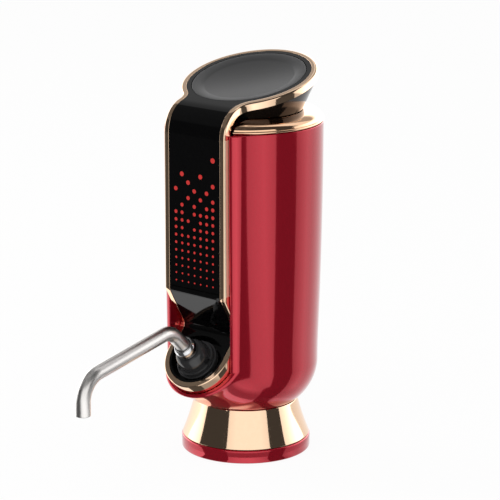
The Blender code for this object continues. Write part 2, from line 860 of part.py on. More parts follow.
def chin_solid(name, wall, top, depth):
    """The tapered block under the bowl's rim, in the frame of the rim."""
    reach = channel_front() - RIM_CENTRE_Y + SLOT_BACK
    half = channel_half() + CHIN_FLARE - wall
    front = CHIN_FRONT - wall
    upper = [(x, y, -top) for x, y in rim_outline(half, reach, front)]
    lower = [(x, y, -top - depth) for x, y in rim_outline(half, reach, front - CHIN_TAPER)]
    return loft(name, lower, upper, rim_frame())


def build_shell():
    profile = [(0, BODY_TOP_Z)] + barrel_profile(0) + [(0, BODY_BOTTOM_Z)]
    shell = turned("shell", profile, STEPS_LARGE)
    half = channel_half()
    front = channel_front()
    back = front + SLOT_BACK
    corner = half - CHANNEL_EDGE
    right = arc((corner, front + CHANNEL_EDGE), CHANNEL_EDGE, -math.pi / 2, 0, EDGE_ARC)
    left = [(-x, y) for x, y in reversed(right)]
    outline = left + right + [(half, back), (-half, back)]
    channel = flat_outline("channel", [outline], BODY_TOP_Z - CHANNEL_BOTTOM_Z)
    channel.location.z = BODY_TOP_Z
    chin = chin_solid("chin", 0, CHIN_STEP, CHIN_DEPTH)

    hollow_profile = barrel_profile(BODY_WALL)
    hollow_profile[0] = (hollow_profile[0][0], BODY_TOP_Z + OVERRUN)
    hollow_profile = [point for point in hollow_profile if point[1] > BODY_FLOOR_Z]
    top = [(0, BODY_TOP_Z + OVERRUN)]
    floor = [(hollow_profile[-1][0], BODY_FLOOR_Z), (0, BODY_FLOOR_Z)]
    hollow = turned("hollow", top + hollow_profile + floor, STEPS_LARGE)
    rib_back = front + CHANNEL_RIB_DEPTH
    for side in (-1, 1):
        xs = sorted((side * (slot_half() - GAP), side * half))
        rib = box("rib", (xs[0], front - OVERRUN, CHANNEL_BOTTOM_Z - OVERRUN),
                  (xs[1], rib_back, BODY_TOP_Z + OVERRUN * 2))
        cut(hollow, rib)
    hollow = settled(hollow)

    window = box("window", (-slot_half(), FRONT_Y - OVERRUN, RIM_CENTRE_Z - RIM_SLOT_DEPTH),
                 (slot_half(), back, BODY_TOP_Z + OVERRUN))
    window = cut(window, rim_guard())
    window = settled(window)
    slot = loft("slot", *slot_rings(), rim_frame())
    core = chin_solid("chin_core", CHIN_WALL, (CHIN_STEP + RIM_SLOT_DEPTH) / 2, CHIN_CORE_DEPTH)
    bottom = rod("bottom", adapter_radius() + GAP, BODY_BOTTOM_Z - OVERRUN, BODY_FLOOR_Z + OVERRUN,
                 STEPS_LARGE)
    port_half = CHARGE_HALF_WIDTH + GAP
    port = box("port", (-port_half, BODY_LOW_RADIUS - OVERRUN * 2, CHARGE_Z - GAP),
               (port_half, BODY_RADIUS + OVERRUN, CHARGE_Z + CHARGE_HEIGHT + GAP))
    for solid in (channel, chin):
        shell = settled(join(shell, solid))
    for hole in (hollow, window, slot, core, bottom, port):
        shell = settled(cut(shell, hole))
    for x, y in adapter_screw_places():
        cut(shell, rod("pilot", ADAPTER_SCREW_RADIUS + GAP, BODY_FLOOR_Z - ADAPTER_SCREW_LENGTH,
                       BODY_FLOOR_Z + OVERRUN, STEPS_TINY, at(x, y)))
    publish(shell, "body_shell", RED)


def rim_guard():
    """Everything below the level of the bowl's slot, which the window leaves alone."""
    far = BODY_TOP_Z
    return settled(box("guard", (-far, -far, -far), (far, far, -RIM_SLOT_DEPTH), rim_frame()))


def slot_rings():
    half = slot_half()
    reach = channel_front() - RIM_CENTRE_Y + CHANNEL_RIB_DEPTH
    outline = rim_outline(half, reach, half)
    lower = [(x, y, -RIM_SLOT_DEPTH) for x, y in outline]
    upper = [(x, y, TRIM_DEPTH) for x, y in outline]
    return lower, upper


# Trim strip, panel and bowl

def build_trim():
    trim = flat_outline("trim", [keyhole(0), keyhole(TRIM_WIDTH)], TRIM_DEPTH)
    skirt = flat_outline("skirt", [keyhole(0), keyhole(TRIM_WIDTH)], TRIM_SKIRT - TRIM_DEPTH / 2)
    skirt.location.z = -TRIM_DEPTH / 2
    beyond = box("beyond", (-BODY_RADIUS, TRIM_SKIRT_END, -BODY_RADIUS),
                 (BODY_RADIUS, PATH_LENGTH * 2, BODY_RADIUS))
    cut(skirt, beyond)
    publish(wrap(settled(join(trim, settled(skirt)))), "trim_frame", ROSE_GOLD)


def build_panel():
    inset = TRIM_WIDTH + GAP
    low = path_place(PANEL_END_Z)
    hole = arc((0, PATH_LENGTH), BUTTON_RADIUS + GAP, 0, 2 * math.pi, DISC_ARC)[:-1]
    panel = flat_outline("panel", [keyhole(inset, False, low), hole], PANEL_THICKNESS)
    publish(wrap(panel, -PANEL_SINK), "front_panel", GLOSS_BLACK)


def build_bowl():
    half = STRIP_HALF_WIDTH - TRIM_WIDTH - GAP
    high = path_place(PANEL_END_Z) - GAP
    depth = BOWL_DEPTH + BOWL_THICKNESS - PANEL_SINK
    outline = arc((0, 0), half, math.pi, 2 * math.pi, BOWL_ARC) + [(half, high), (-half, high)]
    bowl = flat_outline("bowl", [outline], depth)
    bowl.location.z = -PANEL_SINK
    inner = half - BOWL_WALL
    floor_end = STATIONS[1][0]
    back = arc((0, 0), inner, 0, math.pi, BOWL_BACK_ARC)[1:-1]
    pocket_outline = arc((0, 0), inner, math.pi, 2 * math.pi, BOWL_ARC)
    pocket_outline += [(x, y * BOWL_BACK / inner) for x, y in back]
    pocket = flat_outline("pocket", [pocket_outline], BOWL_DEPTH + OVERRUN)
    pocket.location.z += OVERRUN
    under = box("under", (-half - OVERRUN, floor_end + BOWL_DEPTH, -depth - OVERRUN),
                (half + OVERRUN, high + OVERRUN, -PANEL_SINK - PANEL_THICKNESS))
    tail = rod("tail", HUB_TAIL_RADIUS + GAP, -depth - OVERRUN, OVERRUN, STEPS_MEDIUM, at(0, -HUB_OFFSET))
    cut(bowl, pocket, under, tail)
    publish(wrap(settled(bowl)), "recess_bowl", GLOSS_BLACK)


# Spout hub, elbow, collar, tube and O-ring

def build_hub():
    frame = rim_frame(HUB_OFFSET)
    base = -BOWL_DEPTH + GAP
    shelf = base + HUB_FLANGE
    step = shelf + HUB_STEP
    crown = base + HUB_HEIGHT
    tail = -BOWL_DEPTH - HUB_TAIL
    dome = arc((HUB_TOP_RADIUS, step), HUB_DOME_RADIUS - HUB_TOP_RADIUS, math.pi / 2, 0, DOME_ARC)
    rise = (crown - step) / (HUB_DOME_RADIUS - HUB_TOP_RADIUS)
    dome = [(radius, step + (height - step) * rise) for radius, height in dome]
    profile = dome + [(HUB_STEP_RADIUS, step), (HUB_STEP_RADIUS, shelf), (HUB_FLANGE_RADIUS, shelf),
                      (HUB_FLANGE_RADIUS, base), (HUB_TAIL_RADIUS, base), (HUB_TAIL_RADIUS, tail),
                      (ELBOW_BORE_RADIUS, tail), (ELBOW_BORE_RADIUS, crown - SPOUT_SEAT_DEPTH),
                      (HUB_BORE_RADIUS, crown - SPOUT_SEAT_DEPTH), (HUB_BORE_RADIUS, crown)]
    hub = turned("hub", profile, STEPS_MEDIUM, frame, closed=True)
    groove_z = crown - SPOUT_SEAT_DEPTH / 2
    ring_radius = SPOUT_RADIUS + GAP + ORING_RADIUS
    half_groove = ORING_RADIUS + GAP
    cut(hub, pipe("groove", ring_radius + half_groove, SPOUT_RADIUS, groove_z - half_groove,
                  groove_z + half_groove, STEPS_MEDIUM, frame))
    for i in range(HUB_NOTCH_COUNT):
        angle = HUB_NOTCH_ANGLE - 2 * math.pi * i / HUB_NOTCH_COUNT
        low = (HUB_NOTCH_RADIUS, -HUB_NOTCH_WIDTH / 2, step - HUB_NOTCH_BELOW)
        high = (HUB_FLANGE_RADIUS + OVERRUN, HUB_NOTCH_WIDTH / 2, step + HUB_NOTCH_ABOVE)
        cut(hub, settled(box("notch", low, high, frame @ Matrix.Rotation(angle, 4, "Z"))))
    publish(hub, "spout_hub", SATIN_BLACK)

    ring = arc((ring_radius, groove_z), ORING_RADIUS, 2 * math.pi, 0, RING_ARC)
    publish(turned("oring", ring[:-1], STEPS_MEDIUM, frame, closed=True), "hub_oring", RUBBER)

    elbow_top = tail - GAP
    elbow_low = elbow_top - ELBOW_HEIGHT
    middle = (elbow_top + elbow_low) / 2
    elbow = rod("elbow", ELBOW_RADIUS, elbow_low, elbow_top, STEPS_MEDIUM, frame)
    side = frame @ at(0, 0, middle) @ Matrix.Rotation(-ELBOW_TURN, 4, "Z")
    side = side @ Matrix.Rotation(-math.pi / 2, 4, "Y")
    join(elbow, rod("barb", ELBOW_BARB_RADIUS, ELBOW_BORE_RADIUS, ELBOW_BARB_REACH, STEPS_SMALL, side))
    well = rod("well", ELBOW_BORE_RADIUS, middle - ELBOW_BORE_RADIUS / 2, elbow_top + OVERRUN,
               STEPS_SMALL, frame)
    cut(elbow, well, rod("way", ELBOW_BARB_RADIUS / 2, 0, ELBOW_BARB_REACH + OVERRUN, STEPS_TINY, side))
    publish(elbow, "hub_elbow", BLACK_PLASTIC)
    return frame, crown


def spout_route(frame, start):
    """Centre line of the spout: up the hub's axis, along the run, down to the tip."""
    axis = frame.to_3x3() @ Vector((0, 0, 1))
    hub = frame.translation
    corner = hub + axis * SPOUT_RISE
    run = Vector((0, -math.cos(SPOUT_RUN_SLOPE), -math.sin(SPOUT_RUN_SLOPE)))
    far = corner + run * SPOUT_RUN
    down = Vector((0, 0, -1))
    points = [hub + axis * start]
    for here, before, after in ((corner, axis, run), (far, run, down)):
        turn = before.angle(after)
        reach = SPOUT_BEND * math.tan(turn / 2)
        inward = (after - before * math.cos(turn)).normalized()
        centre = here - before * reach + inward * SPOUT_BEND
        for i in range(SPOUT_BEND_POINTS + 1):
            angle = turn * i / SPOUT_BEND_POINTS
            points.append(centre - inward * SPOUT_BEND * math.cos(angle)
                          + before * SPOUT_BEND * math.sin(angle))
    points.append(far + down * SPOUT_DROP)
    return points


def build_spout(frame, crown):
    swivel = empty("spout_swivel_axis", frame)
    origin = frame.translation
    start = crown - SPOUT_SEAT_DEPTH + GAP
    points = spout_route(frame, start)
    outside = tube("spout", points, SPOUT_RADIUS, STEPS_TUBE_FINE)
    axis = (points[1] - points[0]).normalized()
    bore_points = [points[0] - axis * OVERRUN] + points[1:-1] + [points[-1] + Vector((0, 0, -OVERRUN))]
    bore = tube("spout_bore", bore_points, SPOUT_RADIUS - SPOUT_WALL)
    publish(cut(outside, bore), "spout_tube", BRUSHED_STEEL, origin, swivel)

    low = crown + GAP
    high = low + COLLAR_HEIGHT
    hole = SPOUT_RADIUS + GAP
    bevel = COLLAR_RADIUS - COLLAR_TOP_RADIUS
    profile = [(COLLAR_TOP_RADIUS, high), (COLLAR_RADIUS, high - bevel * 2), (COLLAR_RADIUS, low),
               (hole, low), (hole, high)]
    collar = turned("collar", profile, STEPS_MEDIUM, frame, closed=True)
    publish(collar, "spout_collar", CHROME, origin, swivel)


# Bottle adapter with its seal, nipple and screws

def adapter_radius():
    return SOCKET_RADIUS + ADAPTER_WALL


def adapter_heights():
    low = BODY_BOTTOM_Z - ADAPTER_DROP
    ceiling = low + SOCKET_DEPTH
    return low, ceiling, ceiling + ADAPTER_ROOF


def adapter_screw_places():
    angles = [2 * math.pi * (i + 1 / 2) / ADAPTER_SCREW_COUNT for i in range(ADAPTER_SCREW_COUNT)]
    return [(ADAPTER_SCREW_CIRCLE * math.cos(a), ADAPTER_SCREW_CIRCLE * math.sin(a)) for a in angles]


def build_adapter():
    low, ceiling, roof = adapter_heights()
    outer = adapter_radius()
    flange_low = BODY_FLOOR_Z + GAP
    flange_high = flange_low + ADAPTER_FLANGE
    profile = [(0, roof), (outer, roof), (outer, flange_high), (ADAPTER_FLANGE_RADIUS, flange_high),
               (ADAPTER_FLANGE_RADIUS, flange_low), (outer, flange_low), (outer, low), (SOCKET_RADIUS, low),
               (SOCKET_RADIUS, ceiling), (0, ceiling)]
    adapter = turned("adapter", profile, STEPS_LARGE)
    port = at(AIR_PORT_X, AIR_PORT_Y)
    barb_top = roof + AIR_PORT_RISE
    join(adapter, rod("barb", AIR_PORT_RADIUS, ceiling + ADAPTER_ROOF / 2, barb_top, STEPS_SMALL, port))
    cut(adapter, rod("air_way", AIR_PORT_BORE, ceiling - OVERRUN, barb_top + OVERRUN, STEPS_TINY, port))
    cut(adapter, rod("wine_way", NIPPLE_RADIUS + GAP, ceiling - OVERRUN, roof + OVERRUN, STEPS_SMALL))
    for x, y in adapter_screw_places():
        cut(adapter, rod("hole", ADAPTER_SCREW_RADIUS + GAP, flange_low - OVERRUN / 2,
                         flange_high + OVERRUN, STEPS_TINY, at(x, y)))
    publish(adapter, "bottle_adapter", BLACK_PLASTIC)

    head, shank = ADAPTER_SCREW_HEAD_RADIUS, ADAPTER_SCREW_RADIUS
    under = flange_high + GAP
    top = under + ADAPTER_SCREW_HEAD
    tip = BODY_FLOOR_Z - ADAPTER_SCREW_LENGTH + GAP
    screw = [(0, top), (head, top), (head, under), (shank, under), (shank, tip), (0, tip)]
    publish_screws("adapter_screw", screw, adapter_screw_places())

    seal_high = ceiling - GAP
    seal_low = seal_high - SEAL_THICKNESS
    seal = pipe("seal", SOCKET_RADIUS - GAP, SEAL_HOLE_RADIUS, seal_low, seal_high, STEPS_MEDIUM)
    cut(seal, rod("air_hole", AIR_PORT_RADIUS, seal_low - OVERRUN, seal_high + OVERRUN, STEPS_TINY, port))
    publish(seal, "bottle_seal", SILICONE)

    flange = roof + GAP
    top = roof + NIPPLE_RISE
    tip = ceiling - SEAL_THICKNESS - NIPPLE_DROP
    profile = [(NIPPLE_RADIUS, top), (NIPPLE_RADIUS, flange + NIPPLE_FLANGE),
               (NIPPLE_FLANGE_RADIUS, flange + NIPPLE_FLANGE), (NIPPLE_FLANGE_RADIUS, flange),
               (NIPPLE_RADIUS, flange), (NIPPLE_RADIUS, tip), (NIPPLE_BORE, tip), (NIPPLE_BORE, top)]
    publish(turned("nipple", profile, STEPS_SMALL, closed=True), "intake_nipple", STEEL)


# Shoulder ring and neck cone

def build_shoulder():
    bead_low = BODY_TOP_Z + GAP
    bead_high = bead_low + BEAD_HEIGHT
    skirt = barrel_side_radius(BODY_TOP_Z) - BODY_WALL - GAP
    inner = skirt - SHOULDER_WALL
    bead_in = BEAD_RADIUS - BEAD_SETBACK
    bead_edge = BEAD_RADIUS - BEAD_EDGE
    dome = []
    hollow = []
    for i in range(SHOULDER_POINTS + 1):
        angle = math.pi / 2 * i / SHOULDER_POINTS
        across = SHOULDER_LIP_RADIUS + (bead_in - SHOULDER_LIP_RADIUS) * math.sin(angle)
        up = bead_high + (SHOULDER_TOP_Z - bead_high) * math.cos(angle)
        dome.append((across, up))
        across = SHOULDER_OPENING + (inner - SHOULDER_OPENING) * math.sin(angle)
        up = bead_low + (SHOULDER_TOP_Z - SHOULDER_WALL - bead_low) * math.cos(angle)
        hollow.append((across, up))
    skirt_low = bead_low - SHOULDER_SKIRT
    profile = [(SHOULDER_OPENING, SHOULDER_TOP_Z)] + dome
    profile += [(bead_edge, bead_high), (BEAD_RADIUS, (bead_low + bead_high) / 2), (bead_edge, bead_low),
                (skirt, bead_low), (skirt, skirt_low), (inner, skirt_low)]
    profile += list(reversed(hollow))
    ring = turned("shoulder", profile, STEPS_LARGE, closed=True)
    front = box("front", (-slot_half(), FRONT_Y - OVERRUN, skirt_low - OVERRUN),
                (slot_half(), DISC_CENTRE_Y - SHOULDER_OPENING / 2, SHOULDER_TOP_Z + OVERRUN))
    publish(cut(ring, front, *rib_clearances()), "shoulder_ring", ROSE_GOLD)


def rib_clearances():
    """Room for the barrel's two channel ribs."""
    boxes = []
    back = channel_front() + CHANNEL_RIB_DEPTH + GAP
    for side in (-1, 1):
        xs = sorted((side * (slot_half() - OVERRUN), side * (channel_half() + GAP)))
        boxes.append(box("rib_room", (xs[0], FRONT_Y - OVERRUN, BODY_TOP_Z - SHOULDER_SKIRT * 2),
                         (xs[1], back, BODY_TOP_Z + GAP)))
    return boxes


def build_neck():
    frame = disc_frame()
    foot = SHOULDER_TOP_Z + GAP
    drop = -TRIM_DEPTH - NECK_DROP

    def ring(foot_radius, top_radius):
        lower, upper = [], []
        for i in range(NECK_STEPS):
            angle = 2 * math.pi * i / NECK_STEPS
            c, s = math.cos(angle), math.sin(angle)
            lower.append(Vector((foot_radius * c, foot_radius * s, foot)))
            upper.append(frame @ Vector((top_radius * c, top_radius * s, drop)))
        return lower, upper

    outer = ring(NECK_FOOT_RADIUS, NECK_TOP_RADIUS)
    inner = ring(NECK_FOOT_RADIUS - NECK_WALL, NECK_TOP_RADIUS - NECK_WALL)
    work = bmesh.new()
    loops = [[work.verts.new(p) for p in points] for points in (outer[0], outer[1], inner[1], inner[0])]
    for a, b in zip(loops, loops[1:] + loops[:1]):
        for i in range(NECK_STEPS):
            j = (i + 1) % NECK_STEPS
            work.faces.new((a[i], a[j], b[j], b[i]))
    bmesh.ops.recalc_face_normals(work, faces=work.faces)
    mesh = bpy.data.meshes.new("neck")
    work.to_mesh(mesh)
    work.free()
    publish(link("neck", mesh), "neck_cone", MIRROR_GREY)


# Push button, guide, spring and switch

def guide_levels():
    rim_top = -PANEL_SINK - PANEL_THICKNESS - GAP
    plate_low = rim_top - GUIDE_DEPTH
    return rim_top, plate_low + GUIDE_PLATE, plate_low


def build_button():
    frame = disc_frame()
    origin = frame.translation
    slide = empty("button_slide_axis", frame)
    rim_top, plate_top, plate_low = guide_levels()
    edge = -PANEL_SINK
    profile = [(0, edge - BUTTON_DISH), (BUTTON_FLAT_RADIUS, edge - BUTTON_DISH)]
    slope = BUTTON_RADIUS - BUTTON_FLAT_RADIUS
    for share in (1 / 3, 2 / 3, 1):
        lift = BUTTON_DISH * (1 - math.cos(math.pi * share)) / 2
        profile.append((BUTTON_FLAT_RADIUS + slope * share, edge - BUTTON_DISH + lift))
    under = edge - BUTTON_RIM_THICKNESS
    stem_tip = under - STEM_LENGTH
    profile += [(BUTTON_RADIUS, under), (STEM_RADIUS, under), (STEM_RADIUS, stem_tip), (0, stem_tip)]
    publish(turned("button", profile, STEPS_LARGE, frame), "button_disc", MATT_BLACK, origin, slide)

    points = []
    low = plate_top + SPRING_WIRE + GAP
    high = under - SPRING_WIRE - GAP
    total = SPRING_TURNS * SPRING_POINTS
    for i in range(total + 1):
        angle = 2 * math.pi * i / SPRING_POINTS
        height = low + (high - low) * i / total
        curl = Vector((SPRING_RADIUS * math.cos(angle), SPRING_RADIUS * math.sin(angle), height))
        points.append(frame @ curl)
    turn_gap = (high - low) / SPRING_TURNS - SPRING_WIRE * 2
    print("least gap between the spring's turns: %.5f" % turn_gap)
    publish(tube("spring", points, SPRING_WIRE, STEPS_TUBE_COARSE), "button_spring", STEEL)

    rim = BUTTON_RADIUS + RUNNING_GAP
    shelf = under - BUTTON_TRAVEL - GAP
    shelf_low = shelf - GUIDE_RIM_THICKNESS
    well = GUIDE_WELL_RADIUS
    bore = STEM_RADIUS + RUNNING_GAP
    rim = [(rim + GUIDE_WALL, rim_top), (rim + GUIDE_WALL, shelf_low), (well + GUIDE_WALL, shelf_low),
           (well + GUIDE_WALL, plate_low), (bore, plate_low), (bore, plate_top), (well, plate_top),
           (well, shelf), (rim, shelf), (rim, rim_top)]
    guide = turned("guide", rim, STEPS_LARGE, frame, closed=True)
    plunger_top = stem_tip - BUTTON_TRAVEL - GAP
    switch_top = plunger_top - SWITCH_PLUNGER
    board_top = switch_top - SWITCH_HEIGHT - GAP
    for i in range(BUTTON_PEG_COUNT):
        angle = 2 * math.pi * (i + 1 / 4) / BUTTON_PEG_COUNT
        place = frame @ at(BUTTON_PEG_CIRCLE * math.cos(angle), BUTTON_PEG_CIRCLE * math.sin(angle))
        peg_top = plate_low + GUIDE_PLATE / 2
        join(guide, rod("peg", BUTTON_PEG_RADIUS, board_top + GAP, peg_top, STEPS_TINY, place))
    publish(guide, "button_guide", BLACK_PLASTIC)

    board_low = board_top - BUTTON_BOARD_THICKNESS
    board = rod("board", BUTTON_BOARD_RADIUS, board_low, board_top, STEPS_MEDIUM, frame)
    publish(board, "button_board", BOARD_GREEN)

    half = SWITCH_SIZE / 2
    switch = settled(box("switch", (-half, -half, board_top + GAP), (half, half, switch_top), frame))
    join(switch, rod("plunger", SWITCH_PLUNGER_RADIUS, switch_top - GAP, plunger_top, STEPS_TINY, frame))
    publish(switch, "tact_switch", BLACK_PLASTIC)


# Inner frame and its screws

def foot_places():
    angles = [2 * math.pi * i / FOOT_COUNT for i in range(FOOT_COUNT)]
    return [(FOOT_CIRCLE * math.sin(a), FOOT_CIRCLE * math.cos(a)) for a in angles]


def build_frame():
    _, _, roof = adapter_heights()
    deck_top = DECK_Z + DECK_THICKNESS
    clear = BODY_WALL + RUNNING_GAP
    deck = rod("deck", barrel_side_radius(DECK_Z) - clear, DECK_Z, deck_top, STEPS_LARGE)
    cut(deck, box("front", (-BODY_RADIUS, -BODY_RADIUS - OVERRUN, DECK_Z - OVERRUN),
                  (BODY_RADIUS, DECK_FRONT_Y, deck_top + OVERRUN)))
    deck = settled(deck)
    top_high = TOP_DECK_Z + DECK_THICKNESS
    upper = rod("upper", barrel_side_radius(TOP_DECK_Z) - clear, TOP_DECK_Z, top_high, STEPS_LARGE)
    cut(upper, box("front", (-channel_half() - GAP, -BODY_RADIUS - OVERRUN, TOP_DECK_Z - OVERRUN),
                   (channel_half() + GAP, channel_front() + CHANNEL_RIB_DEPTH + GAP, top_high + OVERRUN)))
    cut(upper, rod("way", BUTTON_BOARD_RADIUS, TOP_DECK_Z - OVERRUN, top_high + OVERRUN, STEPS_MEDIUM,
                   at(0, DISC_CENTRE_Y)))
    upper = settled(upper)
    overlap = DECK_THICKNESS / 2
    web = box("web", (-WEB_HALF_WIDTH, WEB_BACK_Y - WEB_THICKNESS, deck_top - overlap),
              (WEB_HALF_WIDTH, WEB_BACK_Y, TOP_DECK_Z + overlap))
    rails = []
    for side in (-1, 1):
        xs = sorted((side * RAIL_X, side * (RAIL_X - RAIL_THICKNESS)))
        rails.append(box("rail", (xs[0], -RAIL_HALF_WIDTH, deck_top - overlap),
                         (xs[1], RAIL_HALF_WIDTH, TOP_DECK_Z + overlap)))
    feet = [rod("foot", FOOT_RADIUS, roof + GAP, DECK_Z + overlap, STEPS_SMALL, at(x, y))
            for x, y in foot_places()]
    join(deck, upper, web, *rails, *feet)
    cut(deck, rod("valve_way", VALVE_RADIUS + GAP, DECK_Z - OVERRUN, deck_top + OVERRUN, STEPS_SMALL,
                  at(AIR_PORT_X, AIR_PORT_Y)))
    for x, y in foot_places():
        cut(deck, rod("hole", FRAME_SCREW_RADIUS + GAP, roof - OVERRUN, deck_top + OVERRUN, STEPS_TINY,
                      at(x, y)))
    publish(deck, "inner_frame", GREY_PLASTIC)

    under = deck_top + GAP
    top = under + FRAME_SCREW_HEAD
    low = roof + RUNNING_GAP
    profile = [(0, top), (FRAME_SCREW_HEAD_RADIUS, top), (FRAME_SCREW_HEAD_RADIUS, under),
               (FRAME_SCREW_RADIUS, under), (FRAME_SCREW_RADIUS, low), (0, low)]
    publish_screws("frame_screw", profile, foot_places())
    return deck_top


# Pump, motor, hoses

def build_pump(deck_top):
    place = at(PUMP_X, PUMP_Y)
    low = deck_top + GAP
    high = low + PUMP_HEIGHT
    floor = low + PUMP_FLOOR
    profile = [(0, floor), (PUMP_CHAMBER_RADIUS, floor), (PUMP_CHAMBER_RADIUS, high), (PUMP_RADIUS, high),
               (PUMP_RADIUS, low), (0, low)]
    head = turned("head", profile, STEPS_MEDIUM, place)
    barb_z = (floor + high) / 2
    side = at(PUMP_X, PUMP_Y, barb_z) @ Matrix.Rotation(BARB_ANGLE, 4, "Z")
    side = side @ Matrix.Rotation(math.pi / 2, 4, "Y")
    wall_middle = (PUMP_RADIUS + PUMP_CHAMBER_RADIUS) / 2
    barb_end = PUMP_RADIUS + BARB_REACH
    join(head, rod("barb", BARB_RADIUS, wall_middle, barb_end, STEPS_TINY, side))
    cut(head, rod("way", BARB_RADIUS / 2, PUMP_CHAMBER_RADIUS / 2, barb_end + OVERRUN, STEPS_TINY, side))
    publish(head, "pump_head", GREY_PLASTIC)

    film_low = floor + GAP
    film_high = film_low + DIAPHRAGM_THICKNESS
    film = rod("film", PUMP_CHAMBER_RADIUS - GAP, film_low, film_high, STEPS_MEDIUM, place)
    publish(film, "pump_diaphragm", RUBBER)

    can_low = high + GAP
    can_high = can_low + MOTOR_LENGTH
    can = pipe("can", MOTOR_RADIUS, MOTOR_RADIUS - MOTOR_WALL, can_low, can_high, STEPS_MEDIUM, place)
    publish(can, "motor_can", STEEL)
    cap_low = can_high + GAP
    cap_high = cap_low + END_CAP_HEIGHT
    spigot = MOTOR_RADIUS - MOTOR_WALL - GAP
    inset = cap_low - END_CAP_HEIGHT / 2
    bore = SHAFT_RADIUS + RUNNING_GAP
    cap = [(MOTOR_RADIUS, cap_high), (MOTOR_RADIUS, cap_low), (spigot, cap_low), (spigot, inset),
           (bore, inset), (bore, cap_high)]
    publish(turned("cap", cap, STEPS_MEDIUM, place, closed=True), "motor_end_cap", BLACK_PLASTIC)

    axis = Vector((PUMP_X, PUMP_Y, can_low))
    spin = empty("rotor_axis", at(*axis))
    disc_low = film_high + RUNNING_GAP
    disc_high = disc_low + ECCENTRIC_HEIGHT
    shaft_low = disc_low + RUNNING_GAP
    shaft_high = cap_high + SHAFT_TOP
    core_low = can_low + (MOTOR_LENGTH - ROTOR_LENGTH) / 2
    core_high = core_low + ROTOR_LENGTH
    rotor = [(0, shaft_high), (SHAFT_RADIUS, shaft_high), (SHAFT_RADIUS, core_high),
             (ROTOR_RADIUS, core_high), (ROTOR_RADIUS, core_low), (SHAFT_RADIUS, core_low),
             (SHAFT_RADIUS, shaft_low), (0, shaft_low)]
    publish(turned("rotor", rotor, STEPS_MEDIUM, place), "motor_rotor", COPPER, axis, spin)
    off_centre = at(PUMP_X + ECCENTRIC_OFFSET, PUMP_Y)
    disc = rod("disc", ECCENTRIC_RADIUS, disc_low, disc_high, STEPS_MEDIUM, off_centre)
    cut(disc, rod("bore", SHAFT_RADIUS + GAP, shaft_low - GAP, disc_high + OVERRUN, STEPS_SMALL, place))
    publish(disc, "pump_eccentric", STEEL, axis, spin)
    outward = Vector((math.cos(BARB_ANGLE), math.sin(BARB_ANGLE), 0))
    return Vector((PUMP_X, PUMP_Y, barb_z)) + outward * (barb_end + GAP), outward


def build_air_line(pump_end, outward):
    _, _, roof = adapter_heights()
    low = roof + AIR_PORT_RISE + GAP
    body_low = low + VALVE_NECK
    body_high = low + VALVE_LENGTH - VALVE_NECK
    high = low + VALVE_LENGTH
    profile = [(0, high), (VALVE_NECK_RADIUS, high), (VALVE_NECK_RADIUS, body_high),
               (VALVE_RADIUS, body_high), (VALVE_RADIUS, body_low), (VALVE_NECK_RADIUS, body_low),
               (VALVE_NECK_RADIUS, low), (0, low)]
    publish(turned("valve", profile, STEPS_SMALL, at(AIR_PORT_X, AIR_PORT_Y)), "check_valve", SILICONE)
    end = Vector((AIR_PORT_X, AIR_PORT_Y, high + GAP))
    lead = AIR_HOSE_RADIUS
    back, up = AIR_HOSE_OVER_SHARES
    over = end - outward * lead * back + Vector((0, 0, lead * up))
    route = hose_route(pump_end, outward * lead, [over], Vector((0, 0, -lead)), end, HOSE_SAMPLES)
    publish(tube("air_hose", route, AIR_HOSE_RADIUS), "air_hose", SILICONE)


def build_wine_hose(frame):
    _, _, roof = adapter_heights()
    tail = -BOWL_DEPTH - HUB_TAIL
    middle = tail - GAP - ELBOW_HEIGHT / 2
    sideways = Vector((-math.cos(ELBOW_TURN), math.sin(ELBOW_TURN), 0))
    outward = frame.to_3x3() @ sideways
    start = frame @ (sideways * (ELBOW_BARB_REACH + GAP) + Vector((0, 0, middle)))
    top = Vector((0, 0, roof + NIPPLE_RISE + GAP))
    lead = WINE_HOSE_RADIUS
    toward = Vector((-math.cos(WINE_HOSE_LEAN), -math.sin(WINE_HOSE_LEAN), 0))
    between = [toward * adapter_radius() * out + Vector((0, 0, roof + lead * up))
               for out, up in WINE_HOSE_WAY_SHARES]
    down = Vector((0, 0, -lead * WINE_HOSE_LEAD_SHARE))
    route = hose_route(start, outward * lead, between, down, top, HOSE_SAMPLES)
    publish(tube("wine_hose", route, WINE_HOSE_RADIUS), "wine_hose", SILICONE)


# Battery and boards

def build_battery(deck_top):
    place = at(BATTERY_X, BATTERY_Y)
    low = deck_top + GAP
    floor = low + HOLDER_FLOOR
    radius = BATTERY_RADIUS + GAP
    high = low + HOLDER_HEIGHT
    outer = radius + HOLDER_WALL
    profile = [(0, floor), (radius, floor), (radius, high), (outer, high), (outer, low), (0, low)]
    holder = turned("holder", profile, STEPS_MEDIUM, place)
    half = HOLDER_OPENING / 2
    opening = box("opening", (BATTERY_X - half, BATTERY_Y - outer - OVERRUN, floor + HOLDER_FLOOR),
                  (BATTERY_X + half, BATTERY_Y, high + OVERRUN))
    publish(cut(holder, opening), "battery_holder", GREY_PLASTIC)
    cell_low = floor + GAP
    cell_high = cell_low + BATTERY_LENGTH
    cap_high = cell_high + BATTERY_CAP
    cell = [(0, cap_high), (BATTERY_CAP_RADIUS, cap_high), (BATTERY_CAP_RADIUS, cell_high),
            (BATTERY_RADIUS, cell_high), (BATTERY_RADIUS, cell_low), (0, cell_low)]
    publish(turned("cell", cell, STEPS_MEDIUM, place), "battery_cell", BLUE_FILM)


